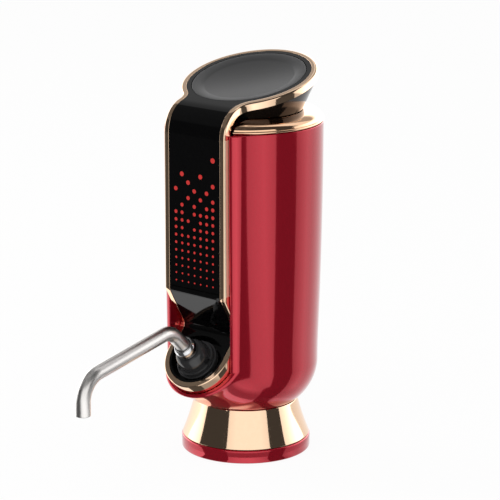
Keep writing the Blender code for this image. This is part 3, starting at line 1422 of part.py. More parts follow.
def build_main_board(deck_top):
    back = WEB_BACK_Y - WEB_THICKNESS - GAP
    front = back - BOARD_THICKNESS
    low = deck_top + MAIN_BOARD_RISE
    high = low + MAIN_BOARD_LENGTH
    half = MAIN_BOARD_HALF_WIDTH
    board = box("board", (-half, front, low), (half, back, high))
    span = high - low
    for across, up, wide, tall, deep in MAIN_BOARD_CHIP_SHARES:
        x = half * across
        z = low + span * up
        w = half * wide / 2
        t = span * tall / 2
        face = front - BOARD_THICKNESS * deep
        join(board, box("chip", (x - w, face, z - t), (x + w, front + GAP, z + t)))
    publish(board, "main_board", BOARD_GREEN)


def dot_places():
    columns = len(DOT_ROWS[0])
    for row, marks in enumerate(DOT_ROWS):
        for column, mark in enumerate(marks):
            if mark == "o":
                across = DOT_PITCH * (column - (columns - 1) / 2)
                yield (across, DOT_ROW_Z + DOT_PITCH * (row + DOT_LOWEST_ROW))


def build_indicator():
    panel_back = FRONT_Y + PANEL_SINK + PANEL_THICKNESS
    chip_front = panel_back + GAP
    board_front = chip_front + LED_CHIP_DEPTH
    heights = [z for _, z in dot_places()]
    low = min(heights) - LED_BOARD_MARGIN
    high = max(heights) + LED_BOARD_MARGIN
    board = box("led_board", (-LED_BOARD_HALF_WIDTH, board_front, low),
                (LED_BOARD_HALF_WIDTH, board_front + LED_BOARD_THICKNESS, high))
    chips = bmesh.new()
    for x, z in dot_places():
        made = bmesh.ops.create_cube(chips, size=1.0)["verts"]
        deep = LED_CHIP_DEPTH + GAP
        bmesh.ops.scale(chips, vec=(LED_CHIP_WIDTH, deep, LED_CHIP_HEIGHT), verts=made)
        bmesh.ops.translate(chips, vec=(x, chip_front + deep / 2, z), verts=made)
    mesh = bpy.data.meshes.new("chips")
    chips.to_mesh(mesh)
    chips.free()
    publish(join(board, link("chips", mesh)), "led_board", BOARD_GREEN)


def build_charging(deck_top):
    board_low = deck_top + GAP
    board_top = board_low + CHARGE_BOARD_THICKNESS
    outer = barrel_side_radius(CHARGE_Z) - BODY_WALL / 2
    back = barrel_side_radius(CHARGE_Z) - BODY_WALL - CHARGE_BOARD_CLEARANCE
    edge = math.sqrt(back ** 2 - CHARGE_BOARD_HALF_WIDTH ** 2)
    half = CHARGE_BOARD_HALF_WIDTH
    publish(box("charge_board", (-half, edge - CHARGE_BOARD_LENGTH, board_low), (half, edge, board_top)),
            "charge_board", BOARD_GREEN)
    base = CHARGE_Z
    top = base + CHARGE_HEIGHT
    inner_end = outer - CHARGE_LENGTH
    wide = CHARGE_HALF_WIDTH
    wall = CHARGE_WALL
    shell = box("socket", (-wide, inner_end, base), (wide, outer, top))
    mouth = box("mouth", (wall - wide, inner_end + wall * 2, base + wall),
                (wide - wall, outer + OVERRUN, top - wall))
    middle = (base + top) / 2
    tongue_half = wide - wall * 3
    tongue = box("tongue", (-tongue_half, inner_end + wall, middle - wall / 2),
                 (tongue_half, outer - wall * 3, middle + wall / 2))
    cut(shell, mouth)
    join(shell, tongue)
    for x in (-wide / 2, wide / 2):
        leg = box("leg", (x - wall, inner_end + wall, board_top + GAP),
                  (x + wall, inner_end + wall * 5, base + wall / 2))
        join(shell, leg)
    publish(shell, "charge_socket", STEEL)


clear_scene()
parts = make_collection(PARTS_NAME)
cutters = make_collection(CUTTERS_NAME)

RED = make_material("gloss_red", (0.48, 0.02, 0.03), 0.12)
ROSE_GOLD = make_material("rose_gold", (0.93, 0.62, 0.46), 0.12, 1.0)
GLOSS_BLACK = make_material("gloss_black", (0.010, 0.010, 0.012), 0.10)
SATIN_BLACK = make_material("satin_black", (0.018, 0.018, 0.018), 0.35)
MATT_BLACK = make_material("matt_black", (0.060, 0.060, 0.062), 0.50)
BLACK_PLASTIC = make_material("black_plastic", (0.030, 0.030, 0.032), 0.45)
GREY_PLASTIC = make_material("grey_plastic", (0.30, 0.30, 0.31), 0.50)
RUBBER = make_material("rubber", (0.020, 0.020, 0.020), 0.80)
SILICONE = make_material("silicone", (0.75, 0.75, 0.73), 0.45)
STEEL = make_material("steel", (0.55, 0.55, 0.56), 0.30, 1.0)
BRUSHED_STEEL = make_material("brushed_steel", (0.62, 0.60, 0.58), 0.28, 1.0)
CHROME = make_material("chrome", (0.75, 0.75, 0.76), 0.06, 1.0)
MIRROR_GREY = make_material("mirror_grey", (0.48, 0.40, 0.36), 0.10, 1.0)
COPPER = make_material("copper", (0.75, 0.38, 0.22), 0.35, 1.0)
BLUE_FILM = make_material("blue_film", (0.03, 0.10, 0.35), 0.35)
BOARD_GREEN = make_material("board_green", (0.02, 0.16, 0.06), 0.40)

CONE_LIP_Z = barrel_bottom_z(CONE_LIP_RADIUS) - GAP
STATIONS, PATH_LENGTH = path_stations()

build_stand()
build_shell()
build_trim()
build_panel()
build_bowl()
hub_frame, hub_crown = build_hub()
build_spout(hub_frame, hub_crown)
build_adapter()
build_shoulder()
build_neck()
build_button()
frame_deck_top = build_frame()
build_air_line(*build_pump(frame_deck_top))
build_wine_hose(hub_frame)
build_battery(frame_deck_top)
build_main_board(frame_deck_top)
build_indicator()
build_charging(frame_deck_top)
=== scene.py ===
"""Looks of the electric wine aerator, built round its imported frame.

Metres, +Z up, in the frame of the model. The spout points to -Y.
"""

import math

import bmesh
import bpy
import numpy as np
from mathutils import Matrix, Vector


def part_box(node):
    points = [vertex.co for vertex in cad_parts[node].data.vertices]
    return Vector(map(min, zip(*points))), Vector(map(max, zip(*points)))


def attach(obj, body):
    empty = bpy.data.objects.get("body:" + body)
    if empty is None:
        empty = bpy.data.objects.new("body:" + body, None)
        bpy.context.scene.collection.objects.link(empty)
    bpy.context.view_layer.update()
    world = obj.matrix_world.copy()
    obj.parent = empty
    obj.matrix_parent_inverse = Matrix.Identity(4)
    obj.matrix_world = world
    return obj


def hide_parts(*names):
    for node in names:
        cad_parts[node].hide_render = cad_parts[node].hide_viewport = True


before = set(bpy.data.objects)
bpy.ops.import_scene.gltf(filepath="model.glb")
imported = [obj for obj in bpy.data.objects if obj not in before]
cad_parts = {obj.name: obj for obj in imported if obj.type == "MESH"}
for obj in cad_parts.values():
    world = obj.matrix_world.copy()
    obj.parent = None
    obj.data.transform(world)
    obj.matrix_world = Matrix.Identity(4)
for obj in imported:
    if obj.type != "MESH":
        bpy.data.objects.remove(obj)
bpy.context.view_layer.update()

GAP = 0.0003
OVERRUN = 0.004
MERGE = 0.000002
SHARP_ANGLE = math.radians(35)

# Camera, from the photograph's perspective
CAMERA_PLACE = (0.75907, -0.96304, 0.42021)
CAMERA_YAW = math.radians(38.228)
CAMERA_DOWN = math.radians(14.712)
CAMERA_LENS = 190.16
CAMERA_SENSOR = 36.0
CAMERA_SHIFT_X = 0.00688

# Segments round turned pieces and arcs
ROUND_STEPS = 128
SMALL_STEPS = 64
EDGE_POINTS = 4

# Stand
PAD_RADIUS = 0.0290
PAD_TOP_Z = 0.0010
RING_RADIUS = 0.0312
RING_LOW_Z = 0.0006
RING_HIGH_Z = 0.0071
RING_INNER = 0.0264
CONE_FOOT_RADIUS = 0.0308
CONE_LIP_RADIUS = 0.0250
CONE_WALL = 0.0012
CONE_WAIST_SHARE = 0.012
CONE_ROWS = 24
RING_EDGE = 0.0009
LIP_EDGE = 0.0003

# Barrel, its raised channel and chin
BODY_RADIUS = 0.0370
BODY_LOW_RADIUS = 0.0348
BODY_TOP_Z = 0.16246
BODY_BOTTOM_Z = 0.0203
BODY_ROUND_ACROSS = 0.0255
BODY_ROUND_UP = 0.0250
BODY_WALL = 0.0022
BODY_FLOOR_Z = 0.0275
BODY_SWELL_SHARE = 0.06
BODY_OVER_SHARE = 1.1
CHANNEL_FRONT_Y = -0.0345
CHANNEL_HALF = 0.0214
CHANNEL_LOW_Z = 0.0415
CHANNEL_END = 0.0080
CHANNEL_EDGE = 0.0026
CHANNEL_BLEND = 0.0075
CHIN_EDGE = 0.0014
RIB_HALF = 0.01958
RIB_BACK_Y = -0.0249
SLOT_HALF = 0.01810
SLOT_BACK_Y = -0.0159
SLOT_DEPTH = 0.0072
SLOT_EDGE = 0.00015
WINDOW_LOW_Z = 0.04763
CHIN_TOP = 0.0062
CHIN_FRONT = 0.0202
CHIN_DEPTH = 0.0190
CHIN_TAPER = 0.0085
CHIN_TAPER_SHARES = (-0.5, 1.5)
CHIN_WALL = 0.0026
CHIN_CORE_TOP = 0.0067
CHIN_CORE_DEPTH = 0.0150
ADAPTER_HOLE = 0.0183
PORT_HALF = 0.0049
PORT_LOW_Z = 0.0679
PORT_HIGH_Z = 0.0717
PORT_FRONT_Y = 0.0268

# Mesh of the red shell: grid step, share of faces kept, and steps of the settling on the surface
SKIN_STEP = 0.0006
SKIN_SHARE = 0.35
SETTLE_ROUNDS = 3
SETTLE_PROBE_SHARE = 1 / 10
NORMAL_PROBE_SHARE = 1 / 6
FLATTEST_SLOPE = 0.1

# Path of the trim strip in the YZ plane
FRONT_Y = -0.0389
BROW_Z = 0.0845
NOTCH_ANGLE = math.radians(120.7)
RIM_CENTRE_Y = -0.0368
RIM_CENTRE_Z = 0.05483
RIM_TILT = math.radians(46.3)
DISC_CENTRE_Y = 0.0024
DISC_CENTRE_Z = 0.18263
DISC_TILT = math.radians(14.62)
DEEP_BEND = 0.0030
BROW_BEND = 0.0050
TOP_BEND = 0.0145
BEND_CUTS = (10, 8, 20)

# Trim strip, panel and bowl
STRIP_HALF = 0.01793
DISC_RIM_RADIUS = 0.03267
NECK_FILLET = 0.0090
TRIM_WIDTH = 0.0027
TRIM_DEPTH = 0.0044
TRIM_SIDE_DEPTH = 0.0056
TRIM_DISC_DEPTH = 0.0037
TRIM_SKIRT = 0.0066
TRIM_SKIRT_END = 0.0080
TRIM_INNER_EDGE = 0.00012
TRIM_OUTER_EDGE = 0.0005
TRIM_DISC_EDGE = 0.0010
TRIM_STEP = 0.0008
PANEL_SINK = 0.00012
PANEL_GAP = 0.0001
PANEL_THICKNESS = 0.0020
PANEL_END_Z = 0.0870
BOWL_DEPTH = 0.0040
BOWL_BACK = 0.0100
BOWL_FLOOR = 0.0020
BOWL_WALL = 0.0008

# Hub, collar and spout
HUB_OFFSET = 0.0024
HUB_FLANGE_RADIUS = 0.0103
HUB_STEP_RADIUS = 0.0094
HUB_DOME_RADIUS = 0.0082
HUB_TOP_RADIUS = 0.0056
HUB_BORE_RADIUS = 0.0039
HUB_TAIL_RADIUS = 0.0045
HUB_BASE = -0.0037
HUB_SHELF = -0.0011
HUB_RISE = 0.0009
HUB_CROWN = 0.0075
HUB_TAIL = -0.0095
HUB_EDGE = 0.00025
HUB_NOTCH_WIDTH = 0.0030
HUB_NOTCH_RADIUS = 0.0068
HUB_NOTCH_BELOW = 0.0012
HUB_NOTCH_ABOVE = 0.0022
HUB_NOTCH_COUNT = 3
HUB_NOTCH_ANGLE = math.radians(-4)
COLLAR_RADIUS = 0.0053
COLLAR_TOP_RADIUS = 0.0046
COLLAR_HEIGHT = 0.0050
COLLAR_EDGE = 0.00025
SPOUT_RADIUS = 0.0035
SPOUT_WALL = 0.0008
SPOUT_SEAT_DEPTH = 0.0080
SPOUT_RISE = 0.0259
SPOUT_RUN = 0.0620
SPOUT_RUN_SLOPE = math.radians(8.7)
SPOUT_DROP = 0.0163
SPOUT_BEND = 0.0120
SPOUT_BEND_POINTS = 20
SPOUT_LIP = 0.0002

# Shoulder, neck and push button
BEAD_RADIUS = 0.0372
BEAD_LOW_Z = 0.16276
BEAD_HIGH_Z = 0.16396
BEAD_SETBACK = 0.0008
SHOULDER_TOP_Z = 0.1680
SHOULDER_LIP_RADIUS = 0.0275
SHOULDER_OPENING = 0.0263
SHOULDER_POINTS = 20
NECK_FOOT_RADIUS = 0.0273
NECK_TOP_RADIUS = 0.0322
NECK_WALL = 0.0015
NECK_TOP_DROP = 0.0040
NECK_ROWS = 12
BUTTON_RADIUS = 0.02735
BUTTON_FLAT_RADIUS = 0.0213
BUTTON_DISH = 0.0013
BUTTON_RIM = 0.0020
BUTTON_EDGE = 0.0003

# Indicator dots
DOT_PITCH = 0.0037
DOT_ROW_Z = 0.0937
DOT_TOP_SHIFT = 0.0013
DOT_LOWEST_ROW = -1
DOT_ROWS = (
    "ooooooo", "ooooooo", "ooooooo", "ooooooo", "ooooooo", "ooooooo", "ooooooo",
    "oo.oooo", "ooo.ooo", "oo.oooo", ".o.o.oo", "..o.o.o", "o..o.o.", "..o...o", ".o..o..",
    ".......", "......o",
)
DOT_LOW_RADIUS = 0.00040
DOT_HIGH_RADIUS = 0.00125
DOT_PROUD = 0.00006
DOT_STEPS = 24


# Node materials

NOISE_DETAIL = 4
BUMP_DISTANCE = 0.0001
COAT_ROUGHNESS = 0.03


def empty_material(name):
    """A node material for the studio, with no nodes yet."""
    material = bpy.data.materials.new(name)
    material.use_nodes = True
    material.node_tree.nodes.clear()
    return material, material.node_tree.nodes, material.node_tree.links


def object_noise(nodes, links, scale, stretch):
    """Noise in the object's own metres, drawn out along an axis where the finish is brushed."""
    place = nodes.new("ShaderNodeTexCoord")
    mapping = nodes.new("ShaderNodeMapping")
    mapping.inputs["Scale"].default_value = stretch
    noise = nodes.new("ShaderNodeTexNoise")
    noise.inputs["Scale"].default_value = scale
    noise.inputs["Detail"].default_value = NOISE_DETAIL
    links.new(place.outputs["Object"], mapping.inputs["Vector"])
    links.new(mapping.outputs["Vector"], noise.inputs["Vector"])
    return noise


def ranged(nodes, links, source, low, high):
    spread = nodes.new("ShaderNodeMapRange")
    spread.inputs["To Min"].default_value = low
    spread.inputs["To Max"].default_value = high
    links.new(source, spread.inputs["Value"])
    return spread.outputs["Result"]


def mixed_colour(nodes, links, factor, first, second):
    mix = nodes.new("ShaderNodeMix")
    mix.data_type = "RGBA"
    mix.inputs["A"].default_value = (*first, 1)
    mix.inputs["B"].default_value = (*second, 1)
    links.new(factor, mix.inputs["Factor"])
    return mix.outputs["Result"]


def finish_material(name, dark, light, rough, metallic, scale=400, stretch=(1, 1, 1), bump=0.0, coat=0.0,
                    gloss=0.5, glow=None):
    """A finish that varies a little in colour and gloss over the surface; glow is a colour and a strength."""
    material = bpy.data.materials.new(name)
    material.use_nodes = True
    nodes, links = material.node_tree.nodes, material.node_tree.links
    shader = next(node for node in nodes if node.type == "BSDF_PRINCIPLED")
    noise = object_noise(nodes, links, scale, stretch).outputs["Fac"]
    links.new(mixed_colour(nodes, links, noise, dark, light), shader.inputs["Base Color"])
    links.new(ranged(nodes, links, noise, *rough), shader.inputs["Roughness"])
    shader.inputs["Metallic"].default_value = metallic
    shader.inputs["Specular IOR Level"].default_value = gloss
    shader.inputs["Coat Weight"].default_value = coat
    shader.inputs["Coat Roughness"].default_value = COAT_ROUGHNESS
    if bump:
        relief = nodes.new("ShaderNodeBump")
        relief.inputs["Strength"].default_value = bump
        relief.inputs["Distance"].default_value = BUMP_DISTANCE
        links.new(noise, relief.inputs["Height"])
        links.new(relief.outputs["Normal"], shader.inputs["Normal"])
    if glow:
        shader.inputs["Emission Color"].default_value = (*glow[0], 1)
        shader.inputs["Emission Strength"].default_value = glow[1]
    return material


RED_PAINT = finish_material("red_lacquer", (0.49, 0.007, 0.024), (0.55, 0.009, 0.030), (0.08, 0.12), 0.58,
                            900, coat=0.60)
ROSE_GOLD = finish_material("rose_gold_plate", (0.94, 0.65, 0.44), (0.97, 0.69, 0.48), (0.04, 0.08), 1.0)
# Lighter, rougher copy of the rose gold for the trim's outer sides: its lighter colour is a painted highlight
SIDE_HIGHLIGHT_GOLD = finish_material("rose_gold_side_painted_highlight", (0.97, 0.80, 0.57), (1.0, 0.84, 0.61), (0.15, 0.20), 0.7)
SHOULDER_GOLD = finish_material("rose_gold_ring", (0.92, 0.58, 0.37), (0.95, 0.62, 0.40), (0.06, 0.10), 1.0)
NECK_MIRROR = finish_material("neck_smoked", (0.040, 0.034, 0.032), (0.055, 0.048, 0.045), (0.05, 0.09), 0.9)
GLOSS_BLACK = finish_material("black_gloss_panel", (0.0010, 0.0010, 0.0011), (0.0018, 0.0018, 0.0020),
                              (0.04, 0.08), 0.0, gloss=0.3)
SATIN_BLACK = finish_material("black_satin", (0.022, 0.022, 0.023), (0.034, 0.034, 0.035), (0.09, 0.14), 0.0,
                              1500, bump=0.03)
DISC_BLACK = finish_material("black_dish", (0.036, 0.036, 0.037), (0.046, 0.046, 0.047), (0.34, 0.44), 0.2,
                             2500, bump=0.05)
BRUSHED_STEEL = finish_material("brushed_steel", (0.74, 0.72, 0.70), (0.80, 0.78, 0.76), (0.28, 0.34), 1.0,
                                700, (6, 0.6, 6), 0.03)
CHROME = finish_material("chrome", (0.62, 0.62, 0.63), (0.70, 0.70, 0.71), (0.10, 0.16), 1.0)
RUBBER = finish_material("black_rubber", (0.015, 0.015, 0.015), (0.030, 0.030, 0.030), (0.6, 0.75), 0.0,
                         1800, bump=0.2)
BLACK_PLASTIC = finish_material("black_plastic", (0.018, 0.018, 0.019), (0.028, 0.028, 0.030),
                                (0.35, 0.50), 0.0, 1600, bump=0.1)
STEEL = finish_material("zinc_steel", (0.45, 0.45, 0.46), (0.60, 0.60, 0.61), (0.22, 0.34), 1.0, 900)
COPPER = finish_material("copper_winding", (0.55, 0.24, 0.10), (0.72, 0.33, 0.15), (0.25, 0.40), 1.0, 2600,
                         (1, 1, 8), 0.2)
SILICONE = finish_material("clear_silicone", (0.62, 0.64, 0.65), (0.72, 0.74, 0.75), (0.35, 0.50), 0.0, 700)
BOARD_GREEN = finish_material("board_green", (0.006, 0.075, 0.030), (0.012, 0.120, 0.050), (0.30, 0.45), 0.0,
                              700)
CELL_WRAP = finish_material("cell_wrap", (0.03, 0.10, 0.30), (0.05, 0.14, 0.38), (0.25, 0.40), 0.0, 500)
NYLON = finish_material("white_nylon", (0.62, 0.62, 0.60), (0.72, 0.72, 0.70), (0.40, 0.55), 0.0, 900)
DOT_GLOW = finish_material("indicator_glow", (0.165, 0.0052, 0.0043), (0.171, 0.0056, 0.0047), (0.38, 0.42),
                           0.0, 900, glow=((0.56, 0.018, 0.015), 0.72))


# Shapes

def arc(centre, radius, start, end, count):
    """Points on an arc in a plane, ends included."""
    angles = [start + (end - start) * i / count for i in range(count + 1)]
    return [(centre[0] + radius * math.cos(a), centre[1] + radius * math.sin(a)) for a in angles]


def rounded(points, radius, corners=None):
    """An outline with the given corners, or all of them, rounded by quadratic arcs."""
    out = []
    count = len(points)
    for i, point in enumerate(points):
        if corners is not None and i not in corners:
            out.append(point)
            continue
        here = Vector(point)
        before = Vector(points[i - 1])
        after = Vector(points[(i + 1) % count])
        reach = min(radius, (before - here).length / 2, (after - here).length / 2)
        start = here + (before - here).normalized() * reach
        end = here + (after - here).normalized() * reach
        for j in range(EDGE_POINTS + 1):
            t = j / EDGE_POINTS
            place = start * (1 - t) ** 2 + here * 2 * t * (1 - t) + end * t ** 2
            out.append(tuple(place))
    return out


def placed(name, data):
    thing = bpy.data.objects.new(name, data)
    bpy.context.scene.collection.objects.link(thing)
    return thing


def add_piece(name, mesh, material, body, *replaced):
    piece = placed(name, mesh)
    mesh.materials.clear()
    mesh.materials.append(material)
    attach(piece, body)
    if replaced:
        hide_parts(*replaced)
    return piece


def finished(work, name):
    """The mesh of a work in progress, which is freed."""
    mesh = bpy.data.meshes.new(name)
    work.to_mesh(mesh)
    work.free()
    return mesh


def smooth_mesh(mesh):
    mesh.shade_smooth()
    mesh.set_sharp_from_angle(angle=SHARP_ANGLE)
    return mesh


def turned(name, profile, steps=ROUND_STEPS, matrix=Matrix()):
    """A closed profile of radius and height turned round the Z axis of a matrix."""
    rows = np.array(profile)
    turn = 2 * math.pi * np.arange(steps) / steps
    points = np.stack([rows[:, 0, None] * np.cos(turn), rows[:, 0, None] * np.sin(turn),
                       np.broadcast_to(rows[:, 1, None], (len(rows), steps))], axis=-1)
    work = bmesh.new()
    verts = [[work.verts.new(matrix @ Vector(p)) for p in row] for row in points]
    for i in range(len(rows)):
        k = (i + 1) % len(rows)
        for j in range(steps):
            m = (j + 1) % steps
            work.faces.new((verts[i][j], verts[k][j], verts[k][m], verts[i][m]))
    bmesh.ops.remove_doubles(work, verts=work.verts, dist=MERGE)
    bmesh.ops.recalc_face_normals(work, faces=work.faces)
    return smooth_mesh(finished(work, name))


def evaluated_mesh(thing):
    depsgraph = bpy.context.evaluated_depsgraph_get()
    return bpy.data.meshes.new_from_object(thing.evaluated_get(depsgraph))


def carved(mesh, cutters):
    """A mesh with closed cutters taken out of it."""
    target = placed("target", mesh)
    for tool in cutters:
        cutter = placed("cutter", tool)
        modifier = target.modifiers.new("cut", "BOOLEAN")
        modifier.object = cutter
        modifier.operation = "DIFFERENCE"
        result = evaluated_mesh(target)
        target.modifiers.clear()
        target.data = result
        bpy.data.objects.remove(cutter)
    result = target.data
    bpy.data.objects.remove(target)
    return smooth_mesh(result)


def block(low, high, matrix=Matrix()):
    work = bmesh.new()
    bmesh.ops.create_cube(work, size=1)
    size = Vector(high) - Vector(low)
    bmesh.ops.scale(work, vec=size, verts=work.verts)
    bmesh.ops.translate(work, vec=(Vector(low) + Vector(high)) / 2, verts=work.verts)
    bmesh.ops.transform(work, matrix=matrix, verts=work.verts)
    return finished(work, "block")


def swept(name, rings):
    """A closed tube through rings of points, the last ring joined to the first."""
    work = bmesh.new()
    verts = [[work.verts.new(p) for p in ring] for ring in rings]
    for i, ring in enumerate(verts):
        following = verts[(i + 1) % len(verts)]
        for j in range(len(ring)):
            k = (j + 1) % len(ring)
            work.faces.new((ring[j], ring[k], following[k], following[j]))
    bmesh.ops.recalc_face_normals(work, faces=work.faces)
    return smooth_mesh(finished(work, name))


# Path of the strip

def crossing(point_a, direction_a, point_b, direction_b):
    across = direction_a[0] * direction_b[1] - direction_a[1] * direction_b[0]
    offset = (point_b[0] - point_a[0], point_b[1] - point_a[1])
    reach = (offset[0] * direction_b[1] - offset[1] * direction_b[0]) / across
    return (point_a[0] + direction_a[0] * reach, point_a[1] + direction_a[1] * reach)


def heading(angle):
    return (math.cos(angle), math.sin(angle))


def path_stations():
    """Start, length, turn, heading, place and cuts of each run of the path, and its whole length."""
    upright = math.pi / 2
    start = (RIM_CENTRE_Y, RIM_CENTRE_Z)
    brow = (FRONT_Y, BROW_Z)
    disc = (DISC_CENTRE_Y, DISC_CENTRE_Z)
    deep = crossing(start, heading(RIM_TILT), brow, heading(NOTCH_ANGLE))
    top = crossing(brow, heading(upright), disc, heading(DISC_TILT))
    corners = [start, deep, brow, top, disc]
    headings = [RIM_TILT, NOTCH_ANGLE, upright, DISC_TILT]
    bends = (DEEP_BEND, BROW_BEND, TOP_BEND)
    lengths = [math.dist(a, b) for a, b in zip(corners, corners[1:])]
    turns = [headings[i + 1] - headings[i] for i in range(len(bends))]
    for i, (bend, turn) in enumerate(zip(bends, turns)):
        trim = bend * math.tan(abs(turn) / 2)
        lengths[i] -= trim
        lengths[i + 1] -= trim
    runs = [(lengths[0], 0.0, 1)]
    for i, (bend, turn) in enumerate(zip(bends, turns)):
        runs.append((bend * abs(turn), turn, BEND_CUTS[i]))
        runs.append((lengths[i + 1], 0.0, 1))
    stations = []
    along = 0.0
    angle = RIM_TILT
    y, z = start
    for length, turn, cuts in runs:
        stations.append((along, length, turn, angle, y, z, cuts))
        if turn:
            bend = length / turn
            y += bend * (math.sin(angle + turn) - math.sin(angle))
            z -= bend * (math.cos(angle + turn) - math.cos(angle))
        else:
            y += length * math.cos(angle)
            z += length * math.sin(angle)
        along += length
        angle += turn
    return stations, along


STATIONS, PATH_LENGTH = path_stations()
UPRIGHT_START, UPRIGHT_Z = STATIONS[4][0], STATIONS[4][5]


def path_place(z):
    """Distance along the path of a height on its upright run."""
    return UPRIGHT_START + z - UPRIGHT_Z


def wrap_angle(along):
    """Run of the path, distance into it and heading at a distance along the path."""
    chosen = STATIONS[0]
    for station in STATIONS:
        if along >= station[0]:
            chosen = station
    start, length, turn, angle = chosen[:4]
    reach = along - start
    return chosen, reach, angle + turn * reach / length


def wrap_point(across, along, height):
    """Place a point of the flattened strip on the bent path."""
    chosen, reach, now = wrap_angle(along)
    _, length, turn, angle, y, z, _ = chosen
    if turn:
        bend = length / turn
        y += bend * (math.sin(now) - math.sin(angle))
        z -= bend * (math.cos(now) - math.cos(angle))
    else:
        y += reach * math.cos(angle)
        z += reach * math.sin(angle)
    return Vector((across, y - height * math.sin(now), z + height * math.cos(now)))


def strip_outline(step):
    """Outer edge of the flattened strip as points with their inward normals, evenly stepped."""
    disc_at = PATH_LENGTH
    side = STRIP_HALF + NECK_FILLET
    reach = math.sqrt((DISC_RIM_RADIUS + NECK_FILLET) ** 2 - side ** 2)
    lean = math.atan2(reach, side)
    points = []

    def turn_round(centre, radius, start, end, inward):
        count = max(2, round(abs(end - start) * radius / step))
        for i in range(count):
            angle = start + (end - start) * i / count
            out = (math.cos(angle), math.sin(angle))
            place = (centre[0] + radius * out[0], centre[1] + radius * out[1])
            points.append((place, (out[0] * inward, out[1] * inward)))

    def run_straight(x, start, end, inward):
        marks = {start}
        for station_start, length, turn, _, _, _, cuts in STATIONS:
            if turn:
                marks.update(station_start + length * i / cuts for i in range(cuts + 1))
        marks.update((TRIM_SKIRT_END - MERGE, TRIM_SKIRT_END + MERGE))
        low, high = sorted((start, end))
        plain = round((high - low) / step / 2)
        marks.update(low + (high - low) * i / plain for i in range(plain))
        ordered = sorted(mark for mark in marks if low <= mark <= high)
        if end < start:
            ordered.reverse()
        points.extend(((x, mark), (inward, 0)) for mark in ordered if mark != end)

    turn_round((0, 0), STRIP_HALF, math.pi, 2 * math.pi, -1)
    run_straight(STRIP_HALF, 0, disc_at - reach, -1)
    turn_round((side, disc_at - reach), NECK_FILLET, math.pi, math.pi - lean, 1)
    turn_round((0, disc_at), DISC_RIM_RADIUS, -lean, math.pi + lean, -1)
    turn_round((-side, disc_at - reach), NECK_FILLET, lean, 0, 1)
    run_straight(-STRIP_HALF, disc_at - reach, 0, 1)
    return points


def flattened(outline, inset):
    return [(p[0] + n[0] * inset, p[1] + n[1] * inset) for p, n in outline]


def wrapped_solid(name, loops, faces_between, lids):
    """A closed mesh from flattened loops of (across, along, height) points, bent along the path."""
    work = bmesh.new()
    verts = [[work.verts.new(p) for p in loop] for loop in loops]
    for a, b in faces_between:
        for i in range(len(verts[a])):
            k = (i + 1) % len(verts[a])
            work.faces.new((verts[a][i], verts[a][k], verts[b][k], verts[b][i]))
    for lid in lids:
        edges = []
        for index in lid:
            ring = verts[index]
            for i, vert in enumerate(ring):
                edges.append(work.edges.get((vert, ring[(i + 1) % len(ring)]))
                             or work.edges.new((vert, ring[(i + 1) % len(ring)])))
        bmesh.ops.triangle_fill(work, use_beauty=True, use_dissolve=False, edges=edges)
    for start, length, turn, _, _, _, cuts in STATIONS:
        for i in range(cuts + 1):
            place = start + length * i / cuts
            geometry = work.verts[:] + work.edges[:] + work.faces[:]
            bmesh.ops.bisect_plane(work, geom=geometry, dist=MERGE, plane_co=(0, place, 0),
                                   plane_no=(0, 1, 0))
    for vert in work.verts:
        vert.co = wrap_point(*vert.co)
    bmesh.ops.recalc_face_normals(work, faces=work.faces)
    return smooth_mesh(finished(work, name))


# Distances to the barrel's surfaces

def rounded_both(a, b, radius):
    """Inside both, with the edge rounded."""
    u = np.maximum(a + radius, 0)
    v = np.maximum(b + radius, 0)
    return np.minimum(np.maximum(a, b), -radius) + np.sqrt(u * u + v * v)


def rounded_either(a, b, radius):
    """Inside either, with the inner corner filled."""
    return -rounded_both(-a, -b, radius)


def barrel_distance(x, y, z):
    """Distance to the turned barrel, whose side swells upward and whose bottom is a quarter oval."""
    knee = BODY_BOTTOM_Z + BODY_ROUND_UP
    out = np.sqrt(x * x + y * y)
    share = np.clip((z - knee) / (BODY_TOP_Z - knee), 0, BODY_OVER_SHARE)
    swell = BODY_SWELL_SHARE
    eased = np.where(share < swell * 2, share * share / (swell * 4), share - swell) / (1 - swell)
    side = out - BODY_LOW_RADIUS - (BODY_RADIUS - BODY_LOW_RADIUS) * eased * (2 - eased)
    inward = np.maximum(out - (BODY_LOW_RADIUS - BODY_ROUND_ACROSS), 0) / BODY_ROUND_ACROSS
    down = (knee - z) / BODY_ROUND_UP
    bottom = (np.sqrt(inward * inward + down * down) - 1) * (BODY_ROUND_ACROSS + BODY_ROUND_UP) / 2
    return np.where(z > knee, side, bottom)


def oval_distance(x, y, half, front):
    """Distance in the rim's plane to straight sides that end in a half oval towards -Y."""
    long = np.minimum(y, 0)
    stretch = np.sqrt((x / half) ** 2 + (long / front) ** 2) + MERGE
    slope = np.sqrt((x / half ** 2) ** 2 + (long / front ** 2) ** 2) / stretch
    return (stretch - 1) / np.maximum(slope, 1 / (half * 2))


def rim_place(y, z):
    """Coordinates along and square to the bowl's rim plane."""
    across = y - RIM_CENTRE_Y
    up = z - RIM_CENTRE_Z
    turn = (math.cos(RIM_TILT), math.sin(RIM_TILT))
    return across * turn[0] + up * turn[1], up * turn[0] - across * turn[1]


def chin_distance(x, along, height, half, wall, top, depth):
    share = np.clip((-top - height) / CHIN_DEPTH, *CHIN_TAPER_SHARES)
    front = CHIN_FRONT - wall - CHIN_TAPER * share
    outline = oval_distance(x, along, half - wall, front)
    return outline, np.maximum(height + top, -top - depth - height)


